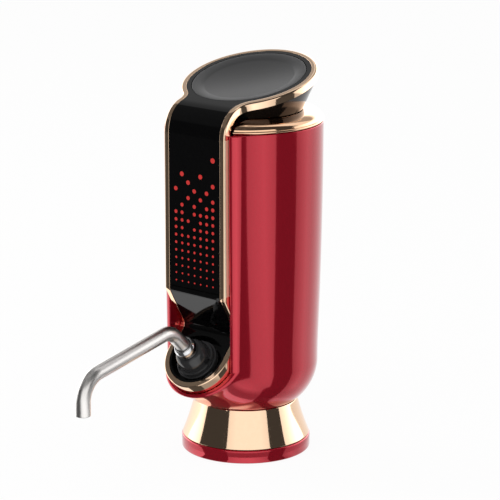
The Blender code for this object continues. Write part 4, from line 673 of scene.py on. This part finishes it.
def body_distance(x, y, z):
    """Distance to the red barrel with its channel, chin, slot, hollow and openings."""
    along, height = rim_place(y, z)
    barrel = barrel_distance(x, y, z)
    channel = rounded_both(np.abs(x) - CHANNEL_HALF, CHANNEL_FRONT_Y - y, CHANNEL_EDGE)
    channel = rounded_both(np.maximum(channel, y), CHANNEL_LOW_Z - z, CHANNEL_END)
    outline, ends = chin_distance(x, along, height, CHANNEL_HALF, 0, CHIN_TOP, CHIN_DEPTH)
    chin = np.maximum(rounded_both(outline, ends, CHIN_EDGE), y)
    body = rounded_either(barrel, np.minimum(channel, chin), CHANNEL_BLEND)
    body = np.maximum(body, BODY_BOTTOM_Z - z)
    body = rounded_both(body, z - BODY_TOP_Z, SLOT_EDGE)

    window = np.maximum(np.abs(x) - SLOT_HALF, np.maximum(y - SLOT_BACK_Y, WINDOW_LOW_Z - z))
    window = np.maximum(window, -SLOT_DEPTH - height)
    slot = np.maximum(oval_distance(x, along, SLOT_HALF, SLOT_HALF), -SLOT_DEPTH - height)
    slot = np.maximum(slot, np.maximum(height - TRIM_DEPTH, y - SLOT_BACK_Y))
    body = rounded_both(body, -np.minimum(window, slot), SLOT_EDGE)

    hollow = np.maximum(barrel + BODY_WALL, BODY_FLOOR_Z - z)
    rib = np.maximum(np.maximum(np.abs(x) - RIB_HALF, SLOT_HALF - GAP - np.abs(x)), y - RIB_BACK_Y)
    hollow = np.maximum(hollow, -rib)
    outline, ends = chin_distance(x, along, height, RIB_HALF, CHIN_WALL, CHIN_CORE_TOP,
                                  CHIN_CORE_DEPTH)
    hollow = np.minimum(hollow, np.maximum(np.maximum(outline, ends), y))
    out = np.sqrt(x * x + y * y)
    hole = np.maximum(out - ADAPTER_HOLE, z - BODY_FLOOR_Z - OVERRUN)
    half_port = (PORT_HIGH_Z - PORT_LOW_Z) / 2
    reach = np.maximum(np.abs(x) - (PORT_HALF - half_port), 0)
    rise = z - (PORT_HIGH_Z + PORT_LOW_Z) / 2
    port = np.maximum(np.sqrt(reach * reach + rise * rise) - half_port, PORT_FRONT_Y - y)
    body = np.maximum(body, -np.minimum(hollow, hole))
    return rounded_both(body, -port, SLOT_EDGE)


def gradient(distance, points, reach):
    """Slope of a distance function at points, from its differences."""
    parts = []
    for axis in range(3):
        shift = np.zeros(3)
        shift[axis] = reach
        ahead = distance(*(points + shift).T)
        behind = distance(*(points - shift).T)
        parts.append((ahead - behind) / (2 * reach))
    return np.stack(parts, axis=1)


def level_mesh(name, distance, low, high, step, share):
    """The closed surface where a distance function is zero, by surface nets, then thinned."""
    axes = [np.arange(a - step, b + step * 2, step) for a, b in zip(low, high)]
    grid = distance(*np.meshgrid(*axes, indexing="ij", sparse=True))
    inside = grid < 0
    cells = tuple(n - 1 for n in grid.shape)
    corners = [(i, j, k) for i in (0, 1) for j in (0, 1) for k in (0, 1)]

    def shifted(array, corner):
        return array[tuple(slice(c, c + n) for c, n in zip(corner, cells))]

    count = sum(shifted(inside, corner).astype(np.int8) for corner in corners)
    active = np.argwhere((count > 0) & (count < len(corners)))
    values = {c: grid[tuple((active + np.array(c)).T)] for c in corners}
    total = np.zeros((len(active), 3))
    hits = np.zeros(len(active))
    for first in corners:
        for axis in range(3):
            if first[axis]:
                continue
            second = tuple(1 if i == axis else c for i, c in enumerate(first))
            a, b = values[first], values[second]
            crossed = (a < 0) != (b < 0)
            share_along = np.where(crossed, a / np.where(crossed, a - b, 1), 0)
            place = np.array(first) + share_along[:, None] * np.eye(3)[axis]
            total += place * crossed[:, None]
            hits += crossed
    start = np.array([axis[0] for axis in axes])
    points = start + (active + total / hits[:, None]) * step
    index = np.full(cells, -1, np.int32)
    index[tuple(active.T)] = np.arange(len(active))

    quads = []
    for axis in range(3):
        ahead = np.take(inside, np.arange(1, grid.shape[axis]), axis)
        behind = np.take(inside, np.arange(grid.shape[axis] - 1), axis)
        edges = np.argwhere(ahead != behind)
        others = [i for i in range(3) if i != axis]
        one, two = np.eye(3, dtype=int)[others]
        inner = np.all((edges[:, others] > 0) & (edges[:, others] < np.array(cells)[others]), axis=1)
        edges = edges[inner]
        ring = [edges - one - two, edges - two, edges, edges - one]
        quad = np.stack([index[tuple(cell.T)] for cell in ring], axis=1)
        facing = behind[tuple(edges.T)] != (axis == 1)
        quads.append(np.where(facing[:, None], quad, quad[:, ::-1]))

    for _ in range(SETTLE_ROUNDS):
        slope = gradient(distance, points, step * SETTLE_PROBE_SHARE)
        reach = distance(*points.T) / np.maximum((slope ** 2).sum(1), FLATTEST_SLOPE)
        points -= np.clip(reach, -step / 2, step / 2)[:, None] * slope
    mesh = bpy.data.meshes.new(name)
    mesh.from_pydata(points.tolist(), [], np.concatenate(quads).tolist())
    thick = placed(name, mesh)
    thinner = thick.modifiers.new("thin", "DECIMATE")
    thinner.ratio = share
    thinned = evaluated_mesh(thick)
    bpy.data.objects.remove(thick)
    bpy.data.meshes.remove(mesh)
    co = np.zeros(len(thinned.vertices) * 3)
    thinned.vertices.foreach_get("co", co)
    normals = gradient(distance, co.reshape(-1, 3), step * NORMAL_PROBE_SHARE)
    normals /= np.linalg.norm(normals, axis=1)[:, None] + MERGE
    thinned.shade_smooth()
    thinned.normals_split_custom_set_from_vertices(normals.tolist())
    return thinned


# Frames of the tilted parts

def at(x, y, z=0):
    return Matrix.Translation((x, y, z))


RIM_FRAME = at(0, RIM_CENTRE_Y, RIM_CENTRE_Z) @ Matrix.Rotation(RIM_TILT, 4, "X")
HUB_FRAME = RIM_FRAME @ at(0, -HUB_OFFSET)
DISC_FRAME = at(0, DISC_CENTRE_Y, DISC_CENTRE_Z) @ Matrix.Rotation(DISC_TILT, 4, "X")


# Pieces

def build_stand():
    inner = PAD_RADIUS + GAP
    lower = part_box("stand_base_plate")[1].z
    ring = [(RING_RADIUS, RING_HIGH_Z), (RING_RADIUS, RING_LOW_Z), (inner, RING_LOW_Z),
            (inner, lower + GAP), (RING_INNER, lower + GAP), (RING_INNER, RING_HIGH_Z)]
    ring = rounded(ring, RING_EDGE, (0, 1))
    add_piece("stand_ring_gloss", turned("ring", ring), RED_PAINT, "stand", "stand_ring")

    foot = RING_HIGH_Z + GAP
    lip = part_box("stand_cone")[1].z
    shares = [i / CONE_ROWS for i in range(CONE_ROWS + 1)]

    def outer(share):
        straight = CONE_FOOT_RADIUS + (CONE_LIP_RADIUS - CONE_FOOT_RADIUS) * share
        return straight * (1 - CONE_WAIST_SHARE * math.sin(math.pi * share))

    outside = [(outer(s), foot + (lip - foot) * s) for s in reversed(shares)]
    inside = [(outer(s) - CONE_WALL, foot + (lip - foot) * s) for s in shares]
    inside[-1] = (inside[-1][0], barrel_bottom_z(inside[-1][0]) - GAP)
    cone = turned("cone", rounded(outside + inside, LIP_EDGE, (0, len(outside) - 1)))
    add_piece("stand_cone_plated", cone, ROSE_GOLD, "stand", "stand_cone")
    pad = rounded([(0, PAD_TOP_Z), (PAD_RADIUS, PAD_TOP_Z), (PAD_RADIUS, 0), (0, 0)], LIP_EDGE, (2,))
    add_piece("stand_pad_rubber", turned("pad", pad), RUBBER, "stand", "stand_foot_pad")


def barrel_bottom_z(radius):
    across = (radius - (BODY_LOW_RADIUS - BODY_ROUND_ACROSS)) / BODY_ROUND_ACROSS
    return BODY_BOTTOM_Z + BODY_ROUND_UP * (1 - math.sqrt(1 - across ** 2))


def build_body():
    low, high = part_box("body_shell")
    step = SKIN_STEP * 1
    mesh = level_mesh("body", body_distance, low, high, step, SKIN_SHARE)
    add_piece("body_shell_lacquered", mesh, RED_PAINT, "aerator", "body_shell")


def build_trim():
    outline = strip_outline(TRIM_STEP)
    side_start = path_place(BROW_Z) + BROW_BEND
    side_end = STATIONS[5][0]
    disc_start = PATH_LENGTH - DISC_RIM_RADIUS
    rings = []
    for (x, along), (nx, ny) in outline:
        depth = TRIM_SIDE_DEPTH if side_start < along < side_end else TRIM_DEPTH
        depth = TRIM_SKIRT if along < TRIM_SKIRT_END else depth
        share = min(max((along - side_end) / (disc_start - side_end), 0), 1)
        depth -= (TRIM_DEPTH - TRIM_DISC_DEPTH) * share
        edge = TRIM_OUTER_EDGE + (TRIM_DISC_EDGE - TRIM_OUTER_EDGE) * share
        section = arc((edge, -edge), edge, math.pi, math.pi / 2, EDGE_POINTS * 2)
        section += arc((TRIM_WIDTH - TRIM_INNER_EDGE, -TRIM_INNER_EDGE), TRIM_INNER_EDGE, math.pi / 2, 0,
                       EDGE_POINTS)
        section += [(TRIM_WIDTH, -depth), (0, -depth)]
        rings.append([wrap_point(x + nx * u, along + ny * u, h) for u, h in section])
    trim = swept("trim", rings)
    add_piece("trim_frame_plated", trim, ROSE_GOLD, "aerator", "trim_frame")
    trim.materials.append(SIDE_HIGHLIGHT_GOLD)
    low = STATIONS[4][5]
    high = low + STATIONS[4][1]
    # Outer side faces of the upright strip get the lighter gold, a painted highlight
    for face in trim.polygons:
        outward = face.normal.x * face.center.x > 0 and abs(face.normal.x) > math.cos(SHARP_ANGLE)
        if outward and low < face.center.z < high:
            face.material_index = 1


def raised(points, height):
    return [(x, along, height) for x, along in points]


def build_panel():
    outline = flattened(strip_outline(TRIM_STEP), TRIM_WIDTH + PANEL_GAP)
    start = path_place(PANEL_END_Z)
    half = STRIP_HALF - TRIM_WIDTH - PANEL_GAP
    upper = [p for p in outline if p[1] > start + MERGE]
    first = next(i for i, p in enumerate(upper) if p[0] > 0)
    upper = [(-half, start), (half, start)] + upper[first:] + upper[:first]
    hole = arc((0, PATH_LENGTH), BUTTON_RADIUS + GAP, 0, 2 * math.pi, ROUND_STEPS)[:-1]
    low = -PANEL_SINK - PANEL_THICKNESS
    loops = [raised(upper, -PANEL_SINK), raised(upper, low), raised(hole, -PANEL_SINK), raised(hole, low)]
    panel = wrapped_solid("panel", loops, [(0, 1), (2, 3)], [(0, 2), (1, 3)])
    add_piece("front_panel_gloss", panel, GLOSS_BLACK, "aerator", "front_panel")


def build_bowl():
    half = STRIP_HALF - TRIM_WIDTH - GAP
    high = path_place(PANEL_END_Z) - GAP
    outline = arc((0, 0), half, math.pi, 2 * math.pi, SMALL_STEPS) + [(half, high), (-half, high)]
    inner = half - BOWL_WALL
    back = arc((0, 0), inner, 0, math.pi, SMALL_STEPS)[1:-1]
    pocket = arc((0, 0), inner, math.pi, 2 * math.pi, SMALL_STEPS)
    pocket += [(x, y * BOWL_BACK / inner) for x, y in back]
    tail = arc((0, -HUB_OFFSET), HUB_TAIL_RADIUS + GAP, 0, 2 * math.pi, SMALL_STEPS)[:-1]
    floor = -BOWL_DEPTH
    low = floor - BOWL_FLOOR
    loops = [raised(outline, low), raised(outline, -PANEL_SINK), raised(pocket, -PANEL_SINK),
             raised(pocket, floor), raised(tail, floor), raised(tail, low)]
    bowl = wrapped_solid("bowl", loops, [(0, 1), (2, 3), (4, 5)], [(1, 2), (3, 4), (0, 5)])
    add_piece("recess_bowl_gloss", bowl, GLOSS_BLACK, "aerator", "recess_bowl")


def build_hub():
    dome = arc((HUB_TOP_RADIUS, HUB_RISE), HUB_DOME_RADIUS - HUB_TOP_RADIUS, math.pi / 2, 0, EDGE_POINTS * 4)
    rise = (HUB_CROWN - HUB_RISE) / (HUB_DOME_RADIUS - HUB_TOP_RADIUS)
    dome = [(radius, HUB_RISE + (height - HUB_RISE) * rise) for radius, height in dome]
    steps = [(HUB_STEP_RADIUS, HUB_RISE), (HUB_STEP_RADIUS, HUB_SHELF), (HUB_FLANGE_RADIUS, HUB_SHELF),
             (HUB_FLANGE_RADIUS, HUB_BASE), (HUB_TAIL_RADIUS, HUB_BASE), (HUB_TAIL_RADIUS, HUB_TAIL),
             (HUB_BORE_RADIUS, HUB_TAIL), (HUB_BORE_RADIUS, HUB_CROWN)]
    profile = rounded(dome + steps, HUB_EDGE, (len(dome), len(dome) + 2))
    hub = turned("hub", profile, ROUND_STEPS, HUB_FRAME)
    cutters = []
    for i in range(HUB_NOTCH_COUNT):
        turn = Matrix.Rotation(HUB_NOTCH_ANGLE - 2 * math.pi * i / HUB_NOTCH_COUNT, 4, "Z")
        low = (HUB_NOTCH_RADIUS, -HUB_NOTCH_WIDTH / 2, HUB_RISE - HUB_NOTCH_BELOW)
        high = (HUB_FLANGE_RADIUS + OVERRUN, HUB_NOTCH_WIDTH / 2, HUB_RISE + HUB_NOTCH_ABOVE)
        cutters.append(block(low, high, HUB_FRAME @ turn))
    add_piece("spout_hub_satin", carved(hub, cutters), SATIN_BLACK, "aerator", "spout_hub")

    low = HUB_CROWN + GAP
    high = low + COLLAR_HEIGHT
    hole = SPOUT_RADIUS + GAP
    bevel = COLLAR_RADIUS - COLLAR_TOP_RADIUS
    profile = [(COLLAR_TOP_RADIUS, high), (COLLAR_RADIUS, high - bevel * 2), (COLLAR_RADIUS, low),
               (hole, low), (hole, high)]
    collar = turned("collar", rounded(profile, COLLAR_EDGE), SMALL_STEPS, HUB_FRAME)
    add_piece("spout_collar_chrome", collar, CHROME, "spout", "spout_collar")


def spout_route():
    """Centre line of the spout with its directions: up the hub's axis, along, and down to the tip."""
    axis = HUB_FRAME.to_3x3() @ Vector((0, 0, 1))
    hub = HUB_FRAME.translation
    corner = hub + axis * SPOUT_RISE
    run = Vector((0, -math.cos(SPOUT_RUN_SLOPE), -math.sin(SPOUT_RUN_SLOPE)))
    far = corner + run * SPOUT_RUN
    down = Vector((0, 0, -1))
    route = [(hub + axis * (HUB_CROWN - SPOUT_SEAT_DEPTH + GAP), axis)]
    for here, before, after in ((corner, axis, run), (far, run, down)):
        turn = before.angle(after)
        reach = SPOUT_BEND * math.tan(turn / 2)
        inward = (after - before * math.cos(turn)).normalized()
        centre = here - before * reach + inward * SPOUT_BEND
        for i in range(SPOUT_BEND_POINTS + 1):
            angle = turn * i / SPOUT_BEND_POINTS
            place = centre - inward * SPOUT_BEND * math.cos(angle) + before * SPOUT_BEND * math.sin(angle)
            route.append((place, before * math.cos(angle) + inward * math.sin(angle)))
    route.append((far + down * SPOUT_DROP, down))
    return route


def build_spout():
    route = spout_route()
    side = Vector((1, 0, 0))
    first, last = route[0], route[-1]
    bore = SPOUT_RADIUS - SPOUT_WALL
    lip = SPOUT_LIP
    outer = [(first[0], first[1], SPOUT_RADIUS - lip), (first[0] + first[1] * lip, first[1], SPOUT_RADIUS)]
    outer += [(place, way, SPOUT_RADIUS) for place, way in route[1:-1]]
    outer += [(last[0] - last[1] * lip, last[1], SPOUT_RADIUS), (last[0], last[1], SPOUT_RADIUS - lip)]
    inner = [(last[0], last[1], bore + lip), (last[0] - last[1] * lip, last[1], bore)]
    inner += [(place, way, bore) for place, way in reversed(route[1:-1])]
    inner += [(first[0] + first[1] * lip, first[1], bore), (first[0], first[1], bore + lip)]
    rings = []
    for place, way, radius in outer + inner:
        up = way.cross(side)
        ring = []
        for i in range(SMALL_STEPS):
            angle = 2 * math.pi * i / SMALL_STEPS
            ring.append(place + side * radius * math.cos(angle) + up * radius * math.sin(angle))
        rings.append(ring)
    add_piece("spout_tube_steel", swept("spout", rings), BRUSHED_STEEL, "spout", "spout_tube")


def build_shoulder():
    bead_in = BEAD_RADIUS - BEAD_SETBACK
    dome = []
    for i in range(SHOULDER_POINTS + 1):
        angle = math.pi / 2 * i / SHOULDER_POINTS
        across = SHOULDER_LIP_RADIUS + (bead_in - SHOULDER_LIP_RADIUS) * math.sin(angle)
        dome.append((across, BEAD_HIGH_Z + (SHOULDER_TOP_Z - BEAD_HIGH_Z) * math.cos(angle)))
    middle = (BEAD_LOW_Z + BEAD_HIGH_Z) / 2
    half = (BEAD_HIGH_Z - BEAD_LOW_Z) / 2
    bead = [(BEAD_RADIUS - half + half * math.cos(a), middle + half * math.sin(a))
            for a in (math.pi / 2 - math.pi * i / EDGE_POINTS / 2 for i in range(EDGE_POINTS * 2 + 1))]
    inner = SHOULDER_OPENING
    profile = [(inner, SHOULDER_TOP_Z)] + dome + bead + [(inner, BEAD_LOW_Z)]
    ring = turned("shoulder", profile)
    front = block((-SLOT_HALF, FRONT_Y - OVERRUN, BEAD_LOW_Z - OVERRUN),
                  (SLOT_HALF, DISC_CENTRE_Y - SHOULDER_OPENING / 2, SHOULDER_TOP_Z + OVERRUN))
    add_piece("shoulder_ring_plated", carved(ring, [front]), SHOULDER_GOLD, "aerator", "shoulder_ring")


def build_neck():
    """The mirror between the round shoulder and the tilted disc, with the strip's room left in front."""
    foot_z = SHOULDER_TOP_Z + GAP
    rings = []
    rows = [i / NECK_ROWS for i in range(NECK_ROWS + 1)]
    sides = [(0, share) for share in rows] + [(NECK_WALL, share) for share in reversed(rows)]
    for wall, share in sides:
        ring = []
        for i in range(ROUND_STEPS):
            angle = 2 * math.pi * i / ROUND_STEPS
            out = Vector((math.cos(angle), math.sin(angle), 0))
            low = out * (NECK_FOOT_RADIUS - wall) + Vector((0, 0, foot_z))
            high = DISC_FRAME @ (out * (NECK_TOP_RADIUS - wall) - Vector((0, 0, NECK_TOP_DROP)))
            ring.append(low.lerp(high, share))
        rings.append(ring)
    add_piece("neck_cone_mirror", swept("neck", rings), NECK_MIRROR, "aerator", "neck_cone")


def build_button():
    slope = [(BUTTON_FLAT_RADIUS + (BUTTON_RADIUS - BUTTON_FLAT_RADIUS) * s, -BUTTON_DISH * (1 - s) ** 2)
             for s in (i / EDGE_POINTS / 2 for i in range(EDGE_POINTS * 2 + 1))]
    profile = [(0, -BUTTON_DISH)] + slope + [(BUTTON_RADIUS, -BUTTON_RIM), (0, -BUTTON_RIM)]
    profile = rounded(profile, BUTTON_EDGE, (len(slope),))
    return turned("button", profile, ROUND_STEPS, DISC_FRAME @ at(0, 0, -PANEL_SINK))


def build_dots():
    """Red indicator dots on the panel, larger towards the top."""
    work = bmesh.new()
    columns = len(DOT_ROWS[0])
    rows = len(DOT_ROWS)
    front = FRONT_Y + PANEL_SINK
    for row, marks in enumerate(DOT_ROWS):
        share = row / (rows - 1)
        radius = DOT_LOW_RADIUS + (DOT_HIGH_RADIUS - DOT_LOW_RADIUS) * share
        z = DOT_ROW_Z + DOT_PITCH * (row + DOT_LOWEST_ROW) + (DOT_TOP_SHIFT if row == rows - 1 else 0)
        for column, mark in enumerate(marks):
            if mark != "o":
                continue
            x = DOT_PITCH * (column - (columns - 1) / 2)
            place = at(x, front - DOT_PROUD / 2, z) @ Matrix.Rotation(math.pi / 2, 4, "X")
            bmesh.ops.create_cone(work, cap_ends=True, segments=DOT_STEPS, radius1=radius, radius2=radius,
                                  depth=DOT_PROUD, matrix=place)
    add_piece("indicator_dots", finished(work, "dots"), DOT_GLOW, "aerator")


PLAIN_FINISHES = {
    BLACK_PLASTIC: ("stand_core", "stand_base_plate", "hub_elbow", "bottle_adapter", "button_guide",
                    "tact_switch", "inner_frame", "battery_holder"),
    STEEL: ("intake_nipple", "button_spring", "motor_can", "charge_socket",
            *(f"{group}_screw_{i}" for group in ("stand", "adapter", "frame") for i in (1, 2, 3))),
    RUBBER: ("hub_oring", "pump_diaphragm"),
    SILICONE: ("bottle_seal", "air_hose", "wine_hose"),
    NYLON: ("pump_head", "motor_end_cap", "pump_eccentric", "check_valve"),
    BOARD_GREEN: ("button_board", "main_board", "led_board", "charge_board"),
    COPPER: ("motor_rotor",),
    CELL_WRAP: ("battery_cell",),
}


def dress_nodes():
    for material, names in PLAIN_FINISHES.items():
        for name in names:
            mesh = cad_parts[name].data
            mesh.materials.clear()
            mesh.materials.append(material)


# Studio

WHITE = (1, 1, 1, 1)
WORLD_STRENGTH = 0.6
FLOOR_HALF = 3.0
FLOOR_COLOUR = (0.9, 0.9, 0.9, 1)
FLOOR_SHARE = 0.95
AIM_Z = 0.09
# Name, turn off the camera and rise in degrees, distance, size and watts of each lamp
LAMPS = (("left_softbox", -118, 18, 1.1, (0.6, 1.2), 5), ("top_softbox", -20, 62, 1.3, (0.8, 0.5), 4))

# Set for mirrored rays: reaches along the floor, then up the wall, with the ceiling from an angle on
SET_NEAR = -0.0055
# From NEAR_START to NEAR_END the set's floor is darkened towards the near marks, a painted shadow of the
# object round its foot
NEAR_START = 0.004
NEAR_REACH = 0.018
NEAR_END = 0.036
SET_REACH = 0.75
SET_HEIGHT = 0.80
SET_ROWS = 12
SET_TURN_STEP = 6
WALL_START = 0.008
CEILING_START = 27
CEILING_END = 33
# Cards, flags and a painted shadow round the foot, as marks of turn off the camera in degrees and brightness,
# where 1 is white
NEAR_SHADOW_GLOW = ((-180, 1.0), (-92, 1.1), (-92, 0.08), (-36, 0.08), (-36, 0.36), (45.5, 0.36), (45.5, 0.06),
             (80.5, 0.06), (80.5, 0.55), (180, 1.0))
FLOOR_GLOW = ((-180, 1.0), (-168, 1.0), (-92, 1.6), (-92, 0.08), (-36, 0.08), (-36, 1.0), (-20, 1.25),
              (8, 1.42), (26, 1.15), (45.5, 0.8), (45.5, 0.07), (80.5, 0.07), (80.5, 0.55), (92, 0.8),
              (104, 1.0), (118, 0.85), (148, 0.95), (180, 1.0))
WALL_GLOW = ((-180, 1.3), (-168, 1.3), (-150, 3.0), (-105, 1.9), (-92, 1.2), (-92, 0.05), (-36, 0.05),
             (-36, 1.0), (-20, 1.15), (30, 1.15), (45.5, 1.0), (45.5, 0.05), (77, 0.05), (77, 1.1), (92, 1.5),
             (110, 2.4), (180, 2.4))
CEILING_GLOW = ((-180, 0.42), (-140, 0.42), (-140, 0.13), (-60, 0.13), (-60, 0.05), (92, 0.05), (92, 1.0),
                (135, 1.0), (135, 0.42), (180, 0.42))


def build_camera():
    data = bpy.data.cameras.new("camera")
    data.lens = CAMERA_LENS
    data.sensor_width = CAMERA_SENSOR
    data.shift_x = CAMERA_SHIFT_X
    camera = placed("camera", data)
    camera.location = CAMERA_PLACE
    camera.rotation_euler = (math.pi / 2 - CAMERA_DOWN, 0, CAMERA_YAW)
    bpy.context.scene.camera = camera


def mixed_for_light(nodes, links, share, hidden, seen, kind):
    """Joins a shader for lit surfaces with one for rays from the camera, mirrored rays and passed rays."""
    path = nodes.new("ShaderNodeLightPath")
    factor = path.outputs["Is Camera Ray"]
    for ray in ("Is Glossy Ray", "Is Transmission Ray"):
        either = nodes.new("ShaderNodeMath")
        either.operation = "MAXIMUM"
        links.new(factor, either.inputs[0])
        links.new(path.outputs[ray], either.inputs[1])
        factor = either.outputs[0]
    weight = nodes.new("ShaderNodeMath")
    weight.operation = "MULTIPLY"
    weight.inputs[1].default_value = share
    mix = nodes.new("ShaderNodeMixShader")
    output = nodes.new(kind)
    links.new(factor, weight.inputs[0])
    links.new(weight.outputs[0], mix.inputs["Fac"])
    links.new(hidden.outputs[0], mix.inputs[1])
    links.new(seen.outputs[0], mix.inputs[2])
    links.new(mix.outputs[0], output.inputs["Surface"])


def build_world():
    world = bpy.data.worlds.new("studio")
    world.use_nodes = True
    nodes, links = world.node_tree.nodes, world.node_tree.links
    nodes.clear()
    plain = nodes.new("ShaderNodeBackground")
    plain.inputs["Color"].default_value = WHITE
    plain.inputs["Strength"].default_value = WORLD_STRENGTH
    white = nodes.new("ShaderNodeBackground")
    white.inputs["Color"].default_value = WHITE
    mixed_for_light(nodes, links, 1, plain, white, "ShaderNodeOutputWorld")
    bpy.context.scene.world = world


def build_floor():
    material, nodes, links = empty_material("floor")
    matt = nodes.new("ShaderNodeBsdfDiffuse")
    matt.inputs["Color"].default_value = FLOOR_COLOUR
    glow = nodes.new("ShaderNodeEmission")
    mixed_for_light(nodes, links, FLOOR_SHARE, matt, glow, "ShaderNodeOutputMaterial")
    mesh = block((-FLOOR_HALF, -FLOOR_HALF, -OVERRUN), (FLOOR_HALF, FLOOR_HALF, 0))
    mesh.materials.append(material)
    placed("floor", mesh)


def studio_place(azimuth, elevation, distance):
    """A place round the object, azimuth to the right of the camera and elevation above the floor."""
    turn = CAMERA_YAW - math.pi / 2 + azimuth
    flat = distance * math.cos(elevation)
    return Vector((flat * math.cos(turn), flat * math.sin(turn), AIM_Z + distance * math.sin(elevation)))


def aimed(place):
    back = (place - Vector((0, 0, AIM_Z))).normalized()
    return back.to_track_quat("Z", "Y").to_euler()


def add_lamp(name, azimuth, elevation, distance, size, power):
    data = bpy.data.lights.new(name, "AREA")
    data.shape = "RECTANGLE"
    data.size, data.size_y = size
    data.energy = power
    lamp = placed(name, data)
    lamp.location = studio_place(math.radians(azimuth), math.radians(elevation), distance)
    lamp.rotation_euler = aimed(lamp.location)


def between(marks, turn):
    """Value at a turn from marks of turn and value, with jumps where two marks share a turn."""
    for (start, low), (end, high) in zip(marks, marks[1:]):
        if start <= turn <= end and start < end:
            return low + (high - low) * (turn - start) / (end - start)
    return marks[-1][1]


def studio_glow(turn, reach, height):
    """How bright the studio is for mirrored rays, by their turn off the camera and where they end."""
    lift = math.degrees(math.atan2(height - AIM_Z, reach))
    painted_shadow = between(NEAR_SHADOW_GLOW, turn)
    low = between(FLOOR_GLOW, turn)
    # Round the foot the floor fades to the near marks, a painted shadow of the object
    if NEAR_START < reach < NEAR_END:
        low = painted_shadow + (low - painted_shadow) * max((reach - NEAR_REACH) / (NEAR_END - NEAR_REACH), 0)
    side = low + (between(WALL_GLOW, turn) - low) * min(max(height / WALL_START - 1, 0), 1)
    fade = min(max((lift - CEILING_START) / (CEILING_END - CEILING_START), 0), 1)
    return side + (between(CEILING_GLOW, turn) - side) * fade


def build_surround():
    """A studio set of cards and flags, with a painted shadow on its floor round the foot, seen only by
    mirrored rays in place of the plain white world.
    """
    jumps = {turn for marks in (NEAR_SHADOW_GLOW, FLOOR_GLOW, WALL_GLOW, CEILING_GLOW) for turn, _ in marks}
    turns = sorted(jumps | set(range(-180, 181, SET_TURN_STEP)))
    reaches = sorted({SET_NEAR, 0, NEAR_START, NEAR_START + GAP, NEAR_REACH, NEAR_END} |
                     {SET_REACH * i / SET_ROWS for i in range(1, SET_ROWS + 1)})
    levels = [(reach, 0.0) for reach in reaches]
    levels += [(SET_REACH, height) for height in (WALL_START, WALL_START * 2)]
    levels += [(SET_REACH, SET_HEIGHT * i / SET_ROWS / 2) for i in range(2, SET_ROWS * 2 + 1)]
    work = bmesh.new()
    glow = work.loops.layers.float.new("glow")

    def place(degrees, reach, height):
        turn = math.radians(degrees)
        out = Vector((math.cos(turn / 2), math.sin(turn / 2))) * (BODY_RADIUS + min(reach, 0))
        out += Vector((math.cos(turn), math.sin(turn))) * max(reach, 0)
        out.rotate(Matrix.Rotation(CAMERA_YAW - math.pi / 2, 2))
        return (out.x, out.y, height + GAP)

    top = work.verts.new((0, 0, SET_HEIGHT + GAP))
    for first, second in zip(turns, turns[1:]):
        middle = (first + second) / 2

        def mark(loop, turn, reach, height):
            loop[glow] = studio_glow(turn + (middle - turn) * MERGE, reach, height)

        for lower, upper in zip(levels, levels[1:]):
            corners = [(first, lower), (second, lower), (second, upper), (first, upper)]
            face = work.faces.new([work.verts.new(place(turn, *level)) for turn, level in corners])
            for loop, (turn, level) in zip(face.loops, corners):
                mark(loop, turn, *level)
        edge = [(first, SET_REACH, SET_HEIGHT), (second, SET_REACH, SET_HEIGHT)]
        face = work.faces.new([work.verts.new(place(*corner)) for corner in edge] + [top])
        for loop, turn in zip(face.loops, (first, second, middle)):
            mark(loop, turn, GAP, SET_HEIGHT)
    mesh = finished(work, "surround")
    material, nodes, links = empty_material("studio_cards")
    level = nodes.new("ShaderNodeAttribute")
    level.attribute_name = "glow"
    shine = nodes.new("ShaderNodeEmission")
    output = nodes.new("ShaderNodeOutputMaterial")
    links.new(level.outputs["Fac"], shine.inputs["Strength"])
    links.new(shine.outputs[0], output.inputs["Surface"])
    mesh.materials.append(material)
    surround = placed("surround", mesh)
    surround.visible_camera = False
    surround.visible_diffuse = False
    surround.visible_shadow = False
    surround.visible_transmission = False


def build_studio():
    build_camera()
    build_world()
    build_floor()
    build_surround()
    for lamp in LAMPS:
        add_lamp(*lamp)
    bpy.context.scene.view_settings.view_transform = "Standard"


build_studio()
dress_nodes()
build_stand()
build_body()
build_trim()
build_panel()
build_bowl()
build_hub()
build_spout()
build_shoulder()
build_neck()
add_piece("button_disc_dished", build_button(), DISC_BLACK, "button", "button_disc")
build_dots()
